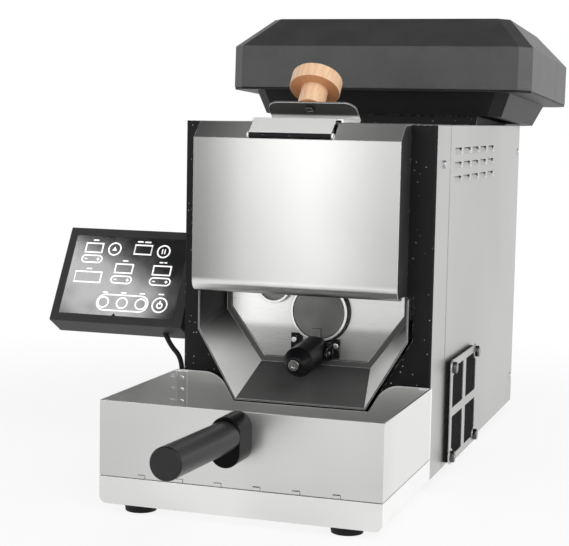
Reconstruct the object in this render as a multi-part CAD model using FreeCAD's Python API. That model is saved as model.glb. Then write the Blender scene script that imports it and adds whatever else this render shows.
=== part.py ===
"""Home coffee bean roaster: one STEP file per piece, in millimetres.

Built with X to the right, Y to the back and Z up. While building, the ground is Z = 0, the front
face of the body is Y = 0 and the body's middle is X = 0. Everything is moved once, at export, so
that the origin is under the middle of the whole object's box.
"""
import FreeCAD, Part
import math
import os

from FreeCAD import Rotation, Vector

NEAR = 0.01

# ---- body ----
SHEET = 1.2
BODY_W = 190.0
BODY_D = 346.0
BODY_H = 256.0
FOOT_H = 6.0
FOOT_R = 11.5
FOOT_TAPER = 1.0
FRONT_FEET_X = (-74.0, 71.0)
FRONT_FEET_IN = 15.0
FOOT_END_IN = 26.0
FOOT_SIDE_IN = 20.0
FRAME_T = 2.0
STRIP_D = 46.0
SEAM = 0.3
PAN_FLANGE = 12.0
REAR_FLANGE = 14.0
FRAME_EDGE = 1.4
RECESS_CLEAR = 1.0
STRIP_SCREW_BACK = 24.5
STRIP_SCREW_DOWN = 28.0
CASE_SCREW_IN = 24.0
REAR_VENT_ROWS = 6
REAR_VENT_X = 45.0
REAR_VENT_W = 56.0
REAR_VENT_H = 4.0
REAR_VENT_PITCH = 12.0
REAR_VENT_UP = 90.0

# ---- front cover ----
COVER_W = 153.5
COVER_OUT = 31.5
COVER_LOW = 133.0
BEVEL_IN = 13.0
BEVEL_DROP = 11.5
ROLL_R = 8.0
ROLL_RETURN = 6.0
CHEEK_T = 1.5
CHEEK_OUT = 0.6

# ---- inlet lid ----
LID_X = -4.0
TONGUE_W = 61.0
LID_W = 68.0
LID_RISE = 2.0
LID_REST = 0.4
LID_BACK = 31.0
LIP_L = 20.5
LIP_TILT = 37.0
LIP_R = 9.0
LID_NOTCH_IN = 6.0
LID_NOTCH_DOWN = 7.0
LID_PIN_R = 1.0
LID_PIN_IN = 1.0
LID_PIN_LIFT = 0.3
LID_WALL_IN = 3.0
LID_BAR_R = 2.2
LID_BAR_BORE = 1.05
EAR_T = 1.2
STRAP_H = 9.0
STRAP_DROP = 3.0
KNOB_UP = 13.5
KNOB_OFFSET = 1.5
KNOB_STEM_R = 10.0
KNOB_STEM_L = 15.5
KNOB_HEAD_R = 19.0
KNOB_HEAD_L = 11.5
KNOB_EDGE_R = 1.0
KNOB_SCREW_R = 2.0
KNOB_SCREW_L = 9.5
KNOB_SCREW_CLEAR = 0.1
KNOB_SCREW_HEAD_R = 3.6
KNOB_SCREW_HEAD_H = 2.0
KNOB_SLOT_L = 4.4
KNOB_SLOT_W = 0.9
KNOB_SLOT_DEPTH = 1.0
KNOB_BORE_L = 10.0
HOPPER_W = 50.0
HOPPER_Y0 = -12.0
HOPPER_Y1 = 26.0
HOPPER_FRONT_DROP = 22.0
HOPPER_BACK_DROP = 30.0
HOPPER_LIP = 8.0
HOPPER_LIFT = 6.0
INLET_DOWN = 46.8
INLET_OPENING_H = 24.0

# ---- drum ----
PLATE_Y = 30.0
PLATE_T = 2.0
PLATE_LOW = 80.5
PLATE_TUCK = 0.2
DRUM_Z = 166.0
DRUM_R = 66.0
DRUM_T = 1.2
DRUM_GAP = 1.0
DRUM_L = 168.0
HOUSING_R = 76.0
DRUM_END_GAP = 13.0
VANE_COUNT = 4
VANE_H = 14.0
VANE_FRONT = 4.0
VANE_REAR = 12.0
VANE_TURN = 45.0
SPIDER_ARMS = 4
SPIDER_T = 2.0
SPIDER_HUB_WALL = 5.0
SPIDER_HUB_L = 12.0
SPIDER_WINDOW_AT = 38.28
SPIDER_WINDOW_R = 17.16
SHAFT_R = 5.0
SHAFT_IN = 14.0
BEARING_CLEAR = 0.05
BEARING_R = 11.0
BEARING_FRONT = 4.0
BEARING_RIM = 4.0
BEARING_RIM_T = 3.0
COUPLING_R = 9.0
COUPLING_L = 18.0
COUPLING_GAP = 8.0
MOTOR_R = 18.5
MOTOR_L = 58.0
MOTOR_GAP = 4.0
MOTOR_SHAFT_R = 3.0
MOTOR_SHAFT_IN = 14.0
MOTOR_CAN_STEP = 1.5
MOTOR_CAP_R = 6.0
MOTOR_CAP_L = 3.0
GEARBOX_L = 23.2
STIRRUP_T = 2.0
STIRRUP_WIDER = 3.0
STIRRUP_BORE_R = 8.0
REAR_PLATE_MARGIN = 6.0
STAND_W = 14.0
HEATER_R = 3.0
HEATER_ANGLES = (-55.0, -25.0, 25.0, 55.0)
PROBE_R = 1.5
PROBE_L = 50.0
PROBE_X = 25.08
PROBE_DOWN = 16.5
PROBE_OUT = 8.0
PROBE_NUT_R = 4.0
PROBE_NUT_L = 5.0

# ---- ports and discharge ----
PORT_X = 3.0
PORT_Z = 121.3
PORT_R = 20.2
PORT_WALL = 2.0
PORT_OUT = 6.0
DOOR_CLEAR = 0.5
DOOR_T = 1.5
DOOR_IN = 0.4
DOOR_ARM_W = 6.4
DOOR_ARM_T = 2.5
DOOR_ARM_UP = 3.0
DOOR_ARM_LAP = 8.0
DOOR_ARM_CLEAR = 0.8
DOOR_GAP_UP = 2.0
SIGHT_X = -33.0
SIGHT_Z = 140.0
SIGHT_R = 11.8
SIGHT_SEAT = 2.0
SIGHT_GLASS_T = 3.0
LEVER_X = 0.5
LEVER_R = 11.0
LEVER_FRONT = -15.5
LEVER_NOSE = 10.0
LEVER_NOSE_R = 5.6
LEVER_NOSE_EDGE = 1.6
LEVER_DROOP = 4.5
LEVER_TAIL = 5.0
LEVER_SCREW_R = 2.0
LEVER_SCREW_L = 12.0
LEVER_SCREW_OUT = 0.6
LEVER_WASHER_R = 3.9
LEVER_WASHER_BORE = 1.9
LEVER_WASHER_T = 1.6
LEVER_PIN_Y = 18.0
LEVER_PIN_Z = 92.0
LEVER_PIN_R = 1.5
LEVER_PIN_OUT = 1.2
BRACKET_T = 1.5
BRACKET_GAP = 0.4
BRACKET_SCREW_R = 2.4
BRACKET_MARGIN = 0.4
BRACKET_REACH = 2.0
BRACKET_FRONT = 5.0
BRACKET_UP = 5.0
BRACKET_DOWN = 6.0
BRACKET_ROUND_R = 4.9
BRACKET_SCREW_UP_LEFT = 7.0
BRACKET_SCREW_UP_RIGHT = 4.0
CHUTE_FRONT = -10.0
CHUTE_W = 160.0
CHUTE_FLOOR_W = 100.0
CHUTE_BEND = 108.0
CHUTE_LOW = 57.0
CHUTE_BACK_W = 145.0
CHUTE_BACK_FLOOR_W = 87.0
CHUTE_BACK_BEND = 119.0
CHUTE_FLANGE = 4.0
CHUTE_LEAN = 0.6
CHUTE_RISE = 6.0
RECESS_DOWN = 17.0

# ---- cooling tray ----
TRAY_W = 196.0
TRAY_L = 133.5
TRAY_GAP = 6.5
TRAY_TOP = 70.0
BASE_H = 19.0
BASE_CORNER = 5.0
NOTCH_CLEAR = 1.6
NOTCH_R = 20.0
NOTCH_DEPTH = 12.0
SIEVE_T = 1.0
SIEVE_GAP = 0.2
SIEVE_EDGE = 12.0
SIEVE_HOLE_R = 2.0
SIEVE_PITCH = 9.0
TRAY_LEDGE = 7.0
TRAY_LAP = 8.0
TRAY_LAP_UP = 3.0
TRAY_LAP_DOWN = 1.0
RIVET_COUNT = 5
RIVET_PITCH = 9.0
RIVET_R = 1.4
RIVET_L = 1.4
RIVET_OUT = 0.8
TAB_COUNT = 6
TAB_PITCH = 27.0
TAB_W = 5.0
TAB_GAP = 0.3
TAB_OUT = 0.8
SEAM_LINE = 0.6
GRIP_R = 10.2
GRIP_L = 96.0
GRIP_EDGE = 1.2
GRIP_Z = 64.0
GRIP_TILT = 2.0
HANDLE_W = 20.0
HANDLE_H = 33.0
HANDLE_T = 24.0
HANDLE_Z = 60.0
HANDLE_EDGE = 1.0
BOLTS_APART = 18.0
BOLT_IN = 9.0
BOLT_CLEAR = 0.5

# ---- hood ----
HOOD_Y = 183.0
HOOD_W = 258.0
HOOD_D = 219.0
HOOD_LIFT = 29.2
HOOD_RIM = 35.0
HOOD_BEVEL = 26.0
HOOD_BEVEL_IN = 25.0
HOOD_FRONT_IN = 31.0
HOOD_CORNER = 10.0
HOOD_TOP_CORNER = 9.0
LEAST_CORNER = 0.2
INNER_SHARE = 0.4
HOOD_JOINT = 145.0
HOOD_JOINT_W = 1.0
HOOD_JOINT_DEPTH = 0.8
HOOD_PITCH = 2.5
HOOD_WALL = 2.5
HOOD_VENT_ROWS = 3
HOOD_VENT_W = 110.0
HOOD_VENT_H = 4.0
HOOD_VENT_UP = 9.0
HOOD_VENT_PITCH = 8.0
TUB_W = 222.0
TUB_FLOOR_W = 206.0
TUB_H = 21.2
TUB_IN = 6.0
TUB_BACK = 18.0
TUB_T = 2.0
TUB_LIP_IN = 0.5
SCREEN_T = 1.5
SCREEN_SIDE = 14.0
SCREEN_FRONT = 6.0
SCREEN_REAR = 14.0
SCREEN_LAP = 4.0
SCREEN_HOLE_R = 3.5
SCREEN_PITCH = 12.0
SCREEN_FIRST = 11.0
SCREEN_COLS = 11
SCREEN_ROWS = 6
COLLAR_W = 168.0
COLLAR_T = 2.0
COLLAR_Y0 = 196.0
COLLAR_Y1 = 334.0
EXHAUST_W = 64.0
EXHAUST_L = 60.0
EXHAUST_LOW = 28.0
EXHAUST_PORT_W = 52.0
EXHAUST_PORT_LOW = 34.0
EXHAUST_PORT_HIGH = 56.0
BLOWER_R = 44.0
BLOWER_H = 18.0
BLOWER_IN = 38.0
BLOWER_GAP = 1.0
BLOWER_MOTOR_R = 20.0
BLOWER_MOTOR_H = 26.0
BLOWER_BOSS_R = 7.0
BLOWER_BOSS_H = 3.0
BLOWER_BORE_UP = 12.0
BLOWER_SHAFT_R = 2.5
BLOWER_HUB_R = 8.0
BLOWER_DISC_T = 1.6
BLOWER_BLADES = 12
BLOWER_BLADE_IN = 22.0
BLOWER_BLADE_TURN = 25.0

# ---- cooling fan ----
FAN = 80.0
FAN_T = 25.0
FAN_BORE_R = 37.5
FAN_HOLES = 71.5
FAN_Y = 101.0
FAN_CORNER = 4.0
STRUTS = 4
STRUT_T = 3.0
STRUT_START = 10.0
STRUT_LAP = 1.5
DUCT_SIDE = 38.0
DUCT_H = 16.5
DUCT_LAP = 5.0
CHAMBER_W = 26.0
GUARD_W = 98.0
GUARD_H = 79.0
GUARD_CORNER = 6.0
GUARD_PAD_R = 6.0
GUARD_SCREW_IN = 5.5
WINDOW_W = 40.0
WINDOW_H = 31.0
WINDOW_BAR_W = 9.0
WINDOW_BAR_H = 6.5
FILTER_T = 3.5
FILTER_IN = 1.5
BLADES = 7
FAN_HUB_R = 15.0
FAN_HUB_L = 17.0
FAN_HUB_IN = 3.6
FAN_SPINDLE_R = 2.0
BLADE_T = 1.6
BLADE_ROOT = 1.5
BLADE_TIP_GAP = 1.0
BLADE_TURN = 50.0

# ---- louvres ----
LOUVRE_Y = 62.0
LOUVRE_L = 27.0
LOUVRE_H = 5.3
LOUVRE_DEPTH = 2.4
LOUVRE_PITCH_Y = 32.8
LOUVRE_PITCH_Z = 10.6
LOUVRE_DOWN = 16.5
LOUVRE_COLS = 5
LOUVRE_ROWS = 3

# ---- control box ----
BOX_W = 110.5
BOX_H = 80.0
BOX_T = 22.5
BOX_TILT = 30.0
BOX_Z = 106.0
BOX_WALL = 2.0
BOX_MOUNT_T = 3.0
BOX_EDGE = 0.8
BOX_FLANGE_IN = 6.0
GLASS_MARGIN = 6.5
GLASS_RIGHT = 8.0
GLASS_T = 2.0
GLASS_SUNK = 0.3
GLASS_NOTCH_AT = 46.56
GLASS_NOTCH_W = 3.6
GLASS_NOTCH_H = 2.2
KEY_BOARD_IN = 5.0
KEY_BOARD_T = 1.6
KEY_BOARD_UP = 6.0
KEY_BOARD_LEG_R = 2.5
KEY_BOARD_LEG_IN = 4.0
CABLE_R = 1.9
CABLE_BACK = 3.0
CABLE_BEND = 0.45
CABLE_ROUTE = ((-116.5, 101.0), (-112.0, 91.0), (-102.5, 82.0), (-101.0, 66.0), (-92.0, 64.0))

# ---- electrics ----
INLET_X = -55.0
INLET_Z = 36.0
INLET_W = 27.0
INLET_H = 20.0
INLET_RIM = 3.0
INLET_RIM_T = 2.5
INLET_WALL = 2.0
INLET_DEPTH = 20.0
SOCKET_DEPTH = 17.0
PIN_TAIL = 4.0
PIN_IN = 5.0
PIN_W = 4.0
PIN_H = 2.0
PIN_PLACES = ((-7.0, -2.0), (7.0, -2.0), (0.0, 3.0))
BOARD_X0 = -64.0
BOARD_W = 84.0
BOARD_L = 100.0
BOARD_BACK = 14.0
BOARD_UP = 10.0
BOARD_T = 1.6
BOARD_LEG_R = 3.0
BOARD_LEG_IN = 6.0
BOARD_GRID = 2.0
TRANSFORMER = (4, 19, 17, 32, 13)
HEAT_SINK = (23, 37, 32, 40, 7.5)
CAPACITORS = ((28, 13), (28, 24))
CAPACITOR_R = 4
CAPACITOR_H = 13

# ---- fasteners ----
SCREW_R = 1.5
SCREW_HEAD_R = 3.0
SCREW_HEAD_H = 1.8
SCREW_L = 7.0
SCREW_ROUND = 0.45
LOW_HEAD_H = 0.6
GUARD_SCREW_R = 4.5
GUARD_SCREW_H = 3.0
GUARD_SCREW_EDGE = 1.2

# ---- places worked out from the sizes above ----
FLOOR = FOOT_H
TOP = FLOOR + BODY_H
HALF = BODY_W / 2
COVER_Z = FLOOR + COVER_LOW
BEVEL_Z = TOP - BEVEL_DROP
RECESS_TOP = TOP - RECESS_DOWN
INLET_HIGH = TOP - SHEET - INLET_DOWN
INLET_LOW = INLET_HIGH - INLET_OPENING_H
TRAY_BACK = -TRAY_GAP
TRAY_FRONT = TRAY_BACK - TRAY_L
TRAY_RIM = FLOOR + TRAY_TOP
SEAM_Z = FLOOR + BASE_H
PLATE_BACK = PLATE_Y + PLATE_T
PLATE_HALF = HALF - 2 * SHEET
DRUM_Y0 = PLATE_BACK + DRUM_GAP
DRUM_Y1 = DRUM_Y0 + DRUM_L
REAR_PLATE_Y = DRUM_Y1 + DRUM_END_GAP
REAR_PLATE_END = REAR_PLATE_Y + PLATE_T
EXHAUST_Y1 = REAR_PLATE_END + EXHAUST_L
BOARD_X1 = BOARD_X0 + BOARD_W
BOARD_Y1 = BODY_D - BOARD_BACK
BOARD_Y0 = BOARD_Y1 - BOARD_L
LID_PIN_Y = -COVER_OUT + LID_PIN_IN
LID_PIN_Z = BEVEL_Z + LID_BAR_R + LID_PIN_LIFT
HOOD_Z = TOP + HOOD_LIFT
FAN_Z = FLOOR + SHEET + FAN / 2
DUCT_END = FAN_Y - FAN / 2 + DUCT_LAP
DOOR_ARM_X = (LEVER_X + PORT_X) / 2
DOOR_Y = PLATE_Y - PORT_OUT + DOOR_IN
TUB_FLOOR_Z = HOOD_Z - TUB_H
TUB_FLOOR_BACK = HOOD_Y + HOOD_D - TUB_IN - TUB_BACK
BLOWER_Y = TUB_FLOOR_BACK - BLOWER_IN
BLOWER_Z = TUB_FLOOR_Z + TUB_T

X_AXIS = Vector(1, 0, 0)
Y_AXIS = Vector(0, 1, 0)
Z_AXIS = Vector(0, 0, 1)

pieces = {}
cable_radii = []


# ---- small shape helpers ----
def block(x0, x1, y0, y1, z0, z1):
    return Part.makeBox(x1 - x0, y1 - y0, z1 - z0, Vector(x0, y0, z0))


def rod(x, y, z, r, length, axis):
    return Part.makeCylinder(r, length, Vector(x, y, z), axis)


def tube(x, y, z, r_out, r_in, length, axis):
    return rod(x, y, z, r_out, length, axis).cut(rod(x, y, z, r_in, length, axis))


def side_profile(points, x0, x1):
    """A prism along X from points given as (y, z)."""
    corners = [Vector(x0, y, z) for y, z in points]
    face = Part.Face(Part.makePolygon(corners + corners[:1]))
    return face.extrude(Vector(x1 - x0, 0, 0))


def front_profile(points, y0, y1):
    """A prism along Y from points given as (x, z)."""
    corners = [Vector(x, y0, z) for x, z in points]
    face = Part.Face(Part.makePolygon(corners + corners[:1]))
    return face.extrude(Vector(0, y1 - y0, 0))


def plan_loft(sections):
    """A ruled solid through level polygons, each given as (list of (x, y), z)."""
    wires = []
    for points, z in sections:
        corners = [Vector(x, y, z) for x, y in points]
        wires.append(Part.makePolygon(corners + corners[:1]))
    return Part.makeLoft(wires, True, True)


def turned(shape, point, axis, degrees):
    copy = shape.copy()
    copy.rotate(point, axis, degrees)
    return copy


def one(shapes):
    """Fuse pieces that touch into one solid."""
    return shapes[0].multiFuse(shapes[1:]).removeSplitter() if len(shapes) > 1 else shapes[0]


def many(shapes):
    return Part.makeCompound(shapes)


def add(name, shape):
    pieces[name] = shape


def outer_rim(cylinder, tip):
    """The circular edge of a cylinder that lies farthest along the given point."""
    rims = [edge for edge in cylinder.Edges if len(edge.Vertexes) == 1]
    return min(rims, key=lambda edge: (edge.CenterOfMass - tip).Length)


def screw(x, y, z, outward, length=SCREW_L, head_r=SCREW_HEAD_R, head_h=SCREW_HEAD_H):
    """A pan-head screw whose head sits on the point and faces outward."""
    place = Vector(x, y, z)
    head = Part.makeCylinder(head_r, head_h, place, outward)
    rim = outer_rim(head, place + outward * head_h)
    head = head.makeFillet(head_h * SCREW_ROUND, [rim])
    shank = Part.makeCylinder(SCREW_R, length, place, outward * -1)
    return head.fuse(shank)


def drill(shape, points):
    """Cut the holes that screws at these points need, sized to grip their shanks."""
    for x, y, z, outward in points:
        start = Vector(x, y, z) - outward * SCREW_L
        shape = shape.cut(Part.makeCylinder(SCREW_R, SCREW_L + 1, start, outward))
    return shape


# ---- hood frame: built level, then pitched about the front rim ----
def pitched(shape):
    return turned(shape, Vector(0, HOOD_Y, HOOD_Z), X_AXIS, -HOOD_PITCH)


def octagon(half_x, y0, y1, corner):
    c = max(corner, LEAST_CORNER)
    return [(-half_x + c, y0), (half_x - c, y0), (half_x, y0 + c), (half_x, y1 - c),
            (half_x - c, y1), (-half_x + c, y1), (-half_x, y1 - c), (-half_x, y0 + c)]


# ---- body ----
def strip_screw_points():
    """One screw through the stainless strip on each side, as (x, y, z, outward)."""
    z = TOP - STRIP_SCREW_DOWN
    return [(side * HALF, STRIP_SCREW_BACK, z, X_AXIS * side) for side in (-1, 1)]


def rear_screw_points():
    y = BODY_D - REAR_FLANGE / 2
    heights = (FLOOR + CASE_SCREW_IN, TOP - CASE_SCREW_IN)
    return [(side * HALF, y, z, X_AXIS * side) for side in (-1, 1) for z in heights]


def base_pan():
    inner = HALF - SHEET
    floor = block(-inner, inner, FRAME_T, BODY_D - SHEET, FLOOR, FLOOR + SHEET)
    sides = [block(x, x + SHEET, FRAME_T, BODY_D - SHEET, FLOOR, FLOOR + PAN_FLANGE)
             for x in (-inner, inner - SHEET)]
    pan = one([floor] + sides)
    fan_gap = block(inner - SHEET, inner, FAN_Y - GUARD_W / 2, FAN_Y + GUARD_W / 2,
                    FLOOR + SHEET, FLOOR + PAN_FLANGE)
    return pan.cut(fan_gap)


def recess_points(grow):
    """The outline of the opening in the front frame, around the chute."""
    wide = CHUTE_W / 2 + grow
    low = CHUTE_FLOOR_W / 2 + grow
    return [(-wide, COVER_Z), (-wide, CHUTE_BEND), (-low, CHUTE_LOW - grow), (low, CHUTE_LOW - grow),
            (wide, CHUTE_BEND), (wide, COVER_Z)]


def front_frame():
    plate = block(-HALF, HALF, 0, FRAME_T, FLOOR, TOP)
    plate = plate.makeFillet(FRAME_EDGE, [e for e in plate.Edges if is_front_upright(e)])
    flanges = []
    for side in (-1, 1):
        x = side * (HALF - SHEET)
        flanges.append(block(min(x, x - side * SHEET), max(x, x - side * SHEET), FRAME_T,
                             STRIP_D, FLOOR + PAN_FLANGE, TOP - SHEET))
    frame = one([plate] + flanges)
    frame = frame.cut(front_profile(recess_points(RECESS_CLEAR), -1, FRAME_T + 1))
    window_half = COVER_W / 2 - 4
    frame = frame.cut(block(-window_half, window_half, -1, FRAME_T + 1, COVER_Z - 1, RECESS_TOP))
    frame = frame.cut(duct_outer(SEAM))
    hopper_half = HOPPER_W / 2 + SHEET + SEAM
    frame = frame.cut(block(LID_X - hopper_half, LID_X + hopper_half, -1, FRAME_T + 1,
                            RECESS_TOP - FRAME_T, TOP))
    return drill(frame.cut(cable_tube(CABLE_R)), strip_screw_points())


def is_front_upright(edge):
    box = edge.BoundBox
    return box.YMax < NEAR and box.ZLength > BODY_H / 2 and abs(abs(box.XMin) - HALF) < NEAR


def front_housing():
    """The stainless strip that wraps both sides and the top behind the front frame."""
    y0, y1 = FRAME_T, STRIP_D
    outer = block(-HALF, HALF, y0, y1, FLOOR, TOP)
    hollow = block(-HALF + SHEET, HALF - SHEET, y0 - 1, y1 + 1, FLOOR - 1, TOP - SHEET)
    wrap = outer.cut(hollow).cut(hopper_throat()).cut(cable_tube(CABLE_R))
    return drill(wrap, strip_screw_points())


def louvre_slots(x_in, x_out):
    slots = []
    for row in range(LOUVRE_ROWS):
        for col in range(LOUVRE_COLS):
            y = LOUVRE_Y + col * LOUVRE_PITCH_Y
            z = TOP - LOUVRE_DOWN - row * LOUVRE_PITCH_Z
            slots.append(block(x_in, x_out, y, y + LOUVRE_L, z - LOUVRE_H, z))
    return slots


def louvre_blades(side):
    """The plate in each slot, pressed inwards from the slot's lower edge and open at its top."""
    x_out, x_in = side * HALF, side * (HALF - SHEET)
    deep = side * LOUVRE_DEPTH
    blades = []
    for row in range(LOUVRE_ROWS):
        for col in range(LOUVRE_COLS):
            y = LOUVRE_Y + col * LOUVRE_PITCH_Y
            z = TOP - LOUVRE_DOWN - row * LOUVRE_PITCH_Z
            corners = [(x_out, z - LOUVRE_H), (x_out - deep, z), (x_in - deep, z),
                       (x_in, z - LOUVRE_H - SHEET)]
            blades.append(front_profile(corners, y, y + LOUVRE_L))
    return blades


def side_cover(side):
    x = side * HALF
    x_in = x - side * SHEET
    y0 = STRIP_D + SEAM
    skin = block(min(x, x_in), max(x, x_in), y0, BODY_D, FLOOR, TOP)
    skin = skin.cut(many(louvre_slots(min(x, x_in) - 1, max(x, x_in) + 1)))
    cover = drill(one([skin] + louvre_blades(side)), rear_screw_points())
    if side > 0:
        cover = cover.cut(rod(HALF - 2 * SHEET, FAN_Y, FAN_Z, FAN_BORE_R, 4 * SHEET, X_AXIS))
        for y, z in fan_hole_points() + guard_screw_points():
            cover = cover.cut(rod(HALF - 2 * SHEET, y, z, SCREW_R, 4 * SHEET, X_AXIS))
    return cover


def top_plate():
    inner = HALF - SHEET
    plate = block(-inner, inner, STRIP_D + SEAM, BODY_D - SHEET, TOP - SHEET, TOP)
    half = EXHAUST_W / 2
    return plate.cut(block(-half, half, REAR_PLATE_END, EXHAUST_Y1, TOP - 2 * SHEET, TOP + 1))


def rear_panel():
    inner = HALF - SHEET
    panel = block(-inner, inner, BODY_D - SHEET, BODY_D, FLOOR, TOP)
    flanges = [block(x, x + SHEET, BODY_D - REAR_FLANGE, BODY_D, FLOOR + PAN_FLANGE, TOP - SHEET)
               for x in (-inner, inner - SHEET)]
    panel = drill(one([panel] + flanges), rear_screw_points())
    panel = panel.cut(inlet_body(PIN_TAIL))
    half = REAR_VENT_W / 2
    for row in range(REAR_VENT_ROWS):
        z = FLOOR + REAR_VENT_UP + row * REAR_VENT_PITCH
        for x in (-REAR_VENT_X, REAR_VENT_X):
            slot = block(x - half, x + half, BODY_D - 2 * SHEET, BODY_D + 1, z, z + REAR_VENT_H)
            panel = panel.cut(slot)
    return panel


# ---- front cover ----
def cover_outline(inset):
    """The cover's side outline as a face in the plane X = 0, moved inwards by a distance."""
    front, low, top = -COVER_OUT + inset, COVER_Z + inset, TOP - inset
    slope = math.atan2(BEVEL_DROP, BEVEL_IN)
    knee_y = -COVER_OUT + BEVEL_IN + inset * math.tan(slope / 2)
    knee_z = BEVEL_Z - inset * math.tan((math.pi / 2 - slope) / 2)
    r = ROLL_R - inset
    a = Vector(0, 0, top)
    b = Vector(0, knee_y, top)
    c = Vector(0, front, knee_z)
    d = Vector(0, front, low + r)
    e = Vector(0, front + r, low)
    f = Vector(0, 0, low)
    mid = Vector(0, front + r * (1 - math.sqrt(0.5)), low + r * (1 - math.sqrt(0.5)))
    edges = [Part.LineSegment(a, b).toShape(), Part.LineSegment(b, c).toShape(),
             Part.LineSegment(c, d).toShape(), Part.Arc(d, mid, e).toShape(),
             Part.LineSegment(e, f).toShape(), Part.LineSegment(f, a).toShape()]
    return Part.Face(Part.Wire(edges))


def cover_prism(inset, x0, x1):
    face = cover_outline(inset)
    face.translate(Vector(x0, 0, 0))
    return face.extrude(Vector(x1 - x0, 0, 0))


def hopper_throat():
    half = HOPPER_W / 2
    return block(LID_X - half, LID_X + half, HOPPER_Y0, HOPPER_Y1, TOP - 2 * SHEET, TOP + SHEET)


def front_cover():
    half = COVER_W / 2
    shell = cover_prism(0, -half, half).cut(cover_prism(SHEET, -half - 1, half + 1))
    roll_end = -COVER_OUT + ROLL_R + ROLL_RETURN
    shell = shell.cut(block(-half - 1, half + 1, roll_end, SHEET, COVER_Z - SHEET, COVER_Z + 2 * SHEET))
    notch_half = TONGUE_W / 2 + SEAM + EAR_T
    front = -COVER_OUT
    points = [(front - 1, BEVEL_Z), (front + SHEET + LID_NOTCH_IN, BEVEL_Z),
              (HOPPER_Y0, TOP - LID_NOTCH_DOWN), (HOPPER_Y0, TOP + 1), (front - 1, TOP + 1)]
    notch = side_profile(points, LID_X - notch_half, LID_X + notch_half)
    return shell.cut(notch).cut(hopper_throat())


def front_cover_ends():
    ends = []
    for side in (-1, 1):
        outer = side * (COVER_W / 2 - CHEEK_OUT)
        near, far = sorted((outer, outer - side * CHEEK_T))
        ends.append(cover_prism(SHEET, near, far))
    return many(ends)


# ---- inlet lid and hopper ----
def lid_plate_points():
    """Corners of the lid's middle line in (y, z), from the tongue's front to the lip's end."""
    flat = TOP + LID_RISE + SHEET / 2
    slope = math.atan2(BEVEL_DROP, BEVEL_IN)
    start = (LID_PIN_Y - LID_BAR_R * math.sin(slope), LID_PIN_Z + LID_BAR_R * math.cos(slope))
    knee = (start[0] + (flat - start[1]) / math.tan(slope), flat)
    fold = (LID_BACK, flat)
    tilt = math.radians(LIP_TILT)
    end = (fold[0] - LIP_L * math.cos(tilt), fold[1] + LIP_L * math.sin(tilt))
    return start, knee, fold, end


def slab(a, b, width, x):
    """A sheet SHEET thick along the line a to b in the YZ plane."""
    dy, dz = b[0] - a[0], b[1] - a[1]
    length = math.hypot(dy, dz)
    ny, nz = -dz / length * SHEET / 2, dy / length * SHEET / 2
    corners = [(a[0] + ny, a[1] + nz), (b[0] + ny, b[1] + nz),
               (b[0] - ny, b[1] - nz), (a[0] - ny, a[1] - nz)]
    return side_profile(corners, x - width / 2, x + width / 2)


def bend(point, width, x):
    """A round rod that closes the corner between two slabs."""
    return rod(x - width / 2, point[0], point[1], SHEET / 2, width, X_AXIS)


def inlet_lid():
    start, knee, fold, end = lid_plate_points()
    tongue = one([slab(start, knee, TONGUE_W, LID_X), bend(knee, TONGUE_W, LID_X)])
    wall_y = HOPPER_Y0 - LID_WALL_IN
    flat_rear = slab((wall_y, knee[1]), fold, LID_W, LID_X)
    flat_front = slab(knee, (wall_y, knee[1]), TONGUE_W, LID_X)
    lip = slab(fold, end, LID_W, LID_X)
    lip = round_lip(lip, end)
    edges = []
    for side in (-1, 1):
        x = LID_X + side * LID_W / 2
        near, far = sorted((x, x - side * SHEET))
        edges.append(block(near, far, wall_y, LID_BACK, TOP + LID_REST, knee[1]))
    lid = one([tongue, flat_front, flat_rear, bend(fold, LID_W, LID_X), lip] + edges)
    lid = lid.cut(rod(LID_X - LID_W, LID_PIN_Y, LID_PIN_Z, LID_BAR_R, 2 * LID_W, X_AXIS))
    return lid.cut(knob_screw_shank(KNOB_SCREW_CLEAR))


def round_lip(lip, end):
    corners = []
    for edge in lip.Edges:
        middle = edge.CenterOfMass
        short = abs(edge.Length - SHEET) < NEAR
        if short and math.hypot(middle.y - end[0], middle.z - end[1]) < 1:
            corners.append(edge)
    return lip.makeFillet(LIP_R, corners)


def knob_axis():
    tilt = math.radians(LIP_TILT)
    return Vector(0, math.sin(tilt), math.cos(tilt))


def knob_base():
    """Where the knob's axis meets the lip's upper face."""
    fold = lid_plate_points()[2]
    tilt = math.radians(LIP_TILT)
    y = fold[0] - KNOB_UP * math.cos(tilt)
    z = fold[1] + KNOB_UP * math.sin(tilt)
    return Vector(LID_X - KNOB_OFFSET, y, z) + knob_axis() * (SHEET / 2)


def knob_screw_shank(extra):
    under = SHEET + 1
    base = knob_base() - knob_axis() * under
    return Part.makeCylinder(KNOB_SCREW_R + extra, under + KNOB_BORE_L, base, knob_axis())


def lid_knob():
    base, axis = knob_base(), knob_axis()
    stem = Part.makeCylinder(KNOB_STEM_R, KNOB_STEM_L, base, axis)
    head = Part.makeCylinder(KNOB_HEAD_R, KNOB_HEAD_L, base + axis * KNOB_STEM_L, axis)
    rims = [edge for edge in head.Edges if len(edge.Vertexes) == 1]
    head = head.makeFillet(KNOB_EDGE_R, rims)
    return stem.fuse(head).cut(knob_screw_shank(0.0))


def lid_knob_screw():
    axis = knob_axis()
    seat = knob_base() - axis * SHEET
    under = seat - axis * KNOB_SCREW_HEAD_H
    head = Part.makeCylinder(KNOB_SCREW_HEAD_R, KNOB_SCREW_HEAD_H, under, axis)
    shank = Part.makeCylinder(KNOB_SCREW_R, SHEET + KNOB_SCREW_L, seat, axis)
    corner = Vector(-KNOB_SLOT_L / 2, -KNOB_SLOT_W / 2, 0)
    slot = Part.makeBox(KNOB_SLOT_L, KNOB_SLOT_W, KNOB_SLOT_DEPTH, corner)
    slot.Placement = FreeCAD.Placement(under, Rotation(Z_AXIS, axis))
    return head.fuse(shank).cut(slot)


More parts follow.
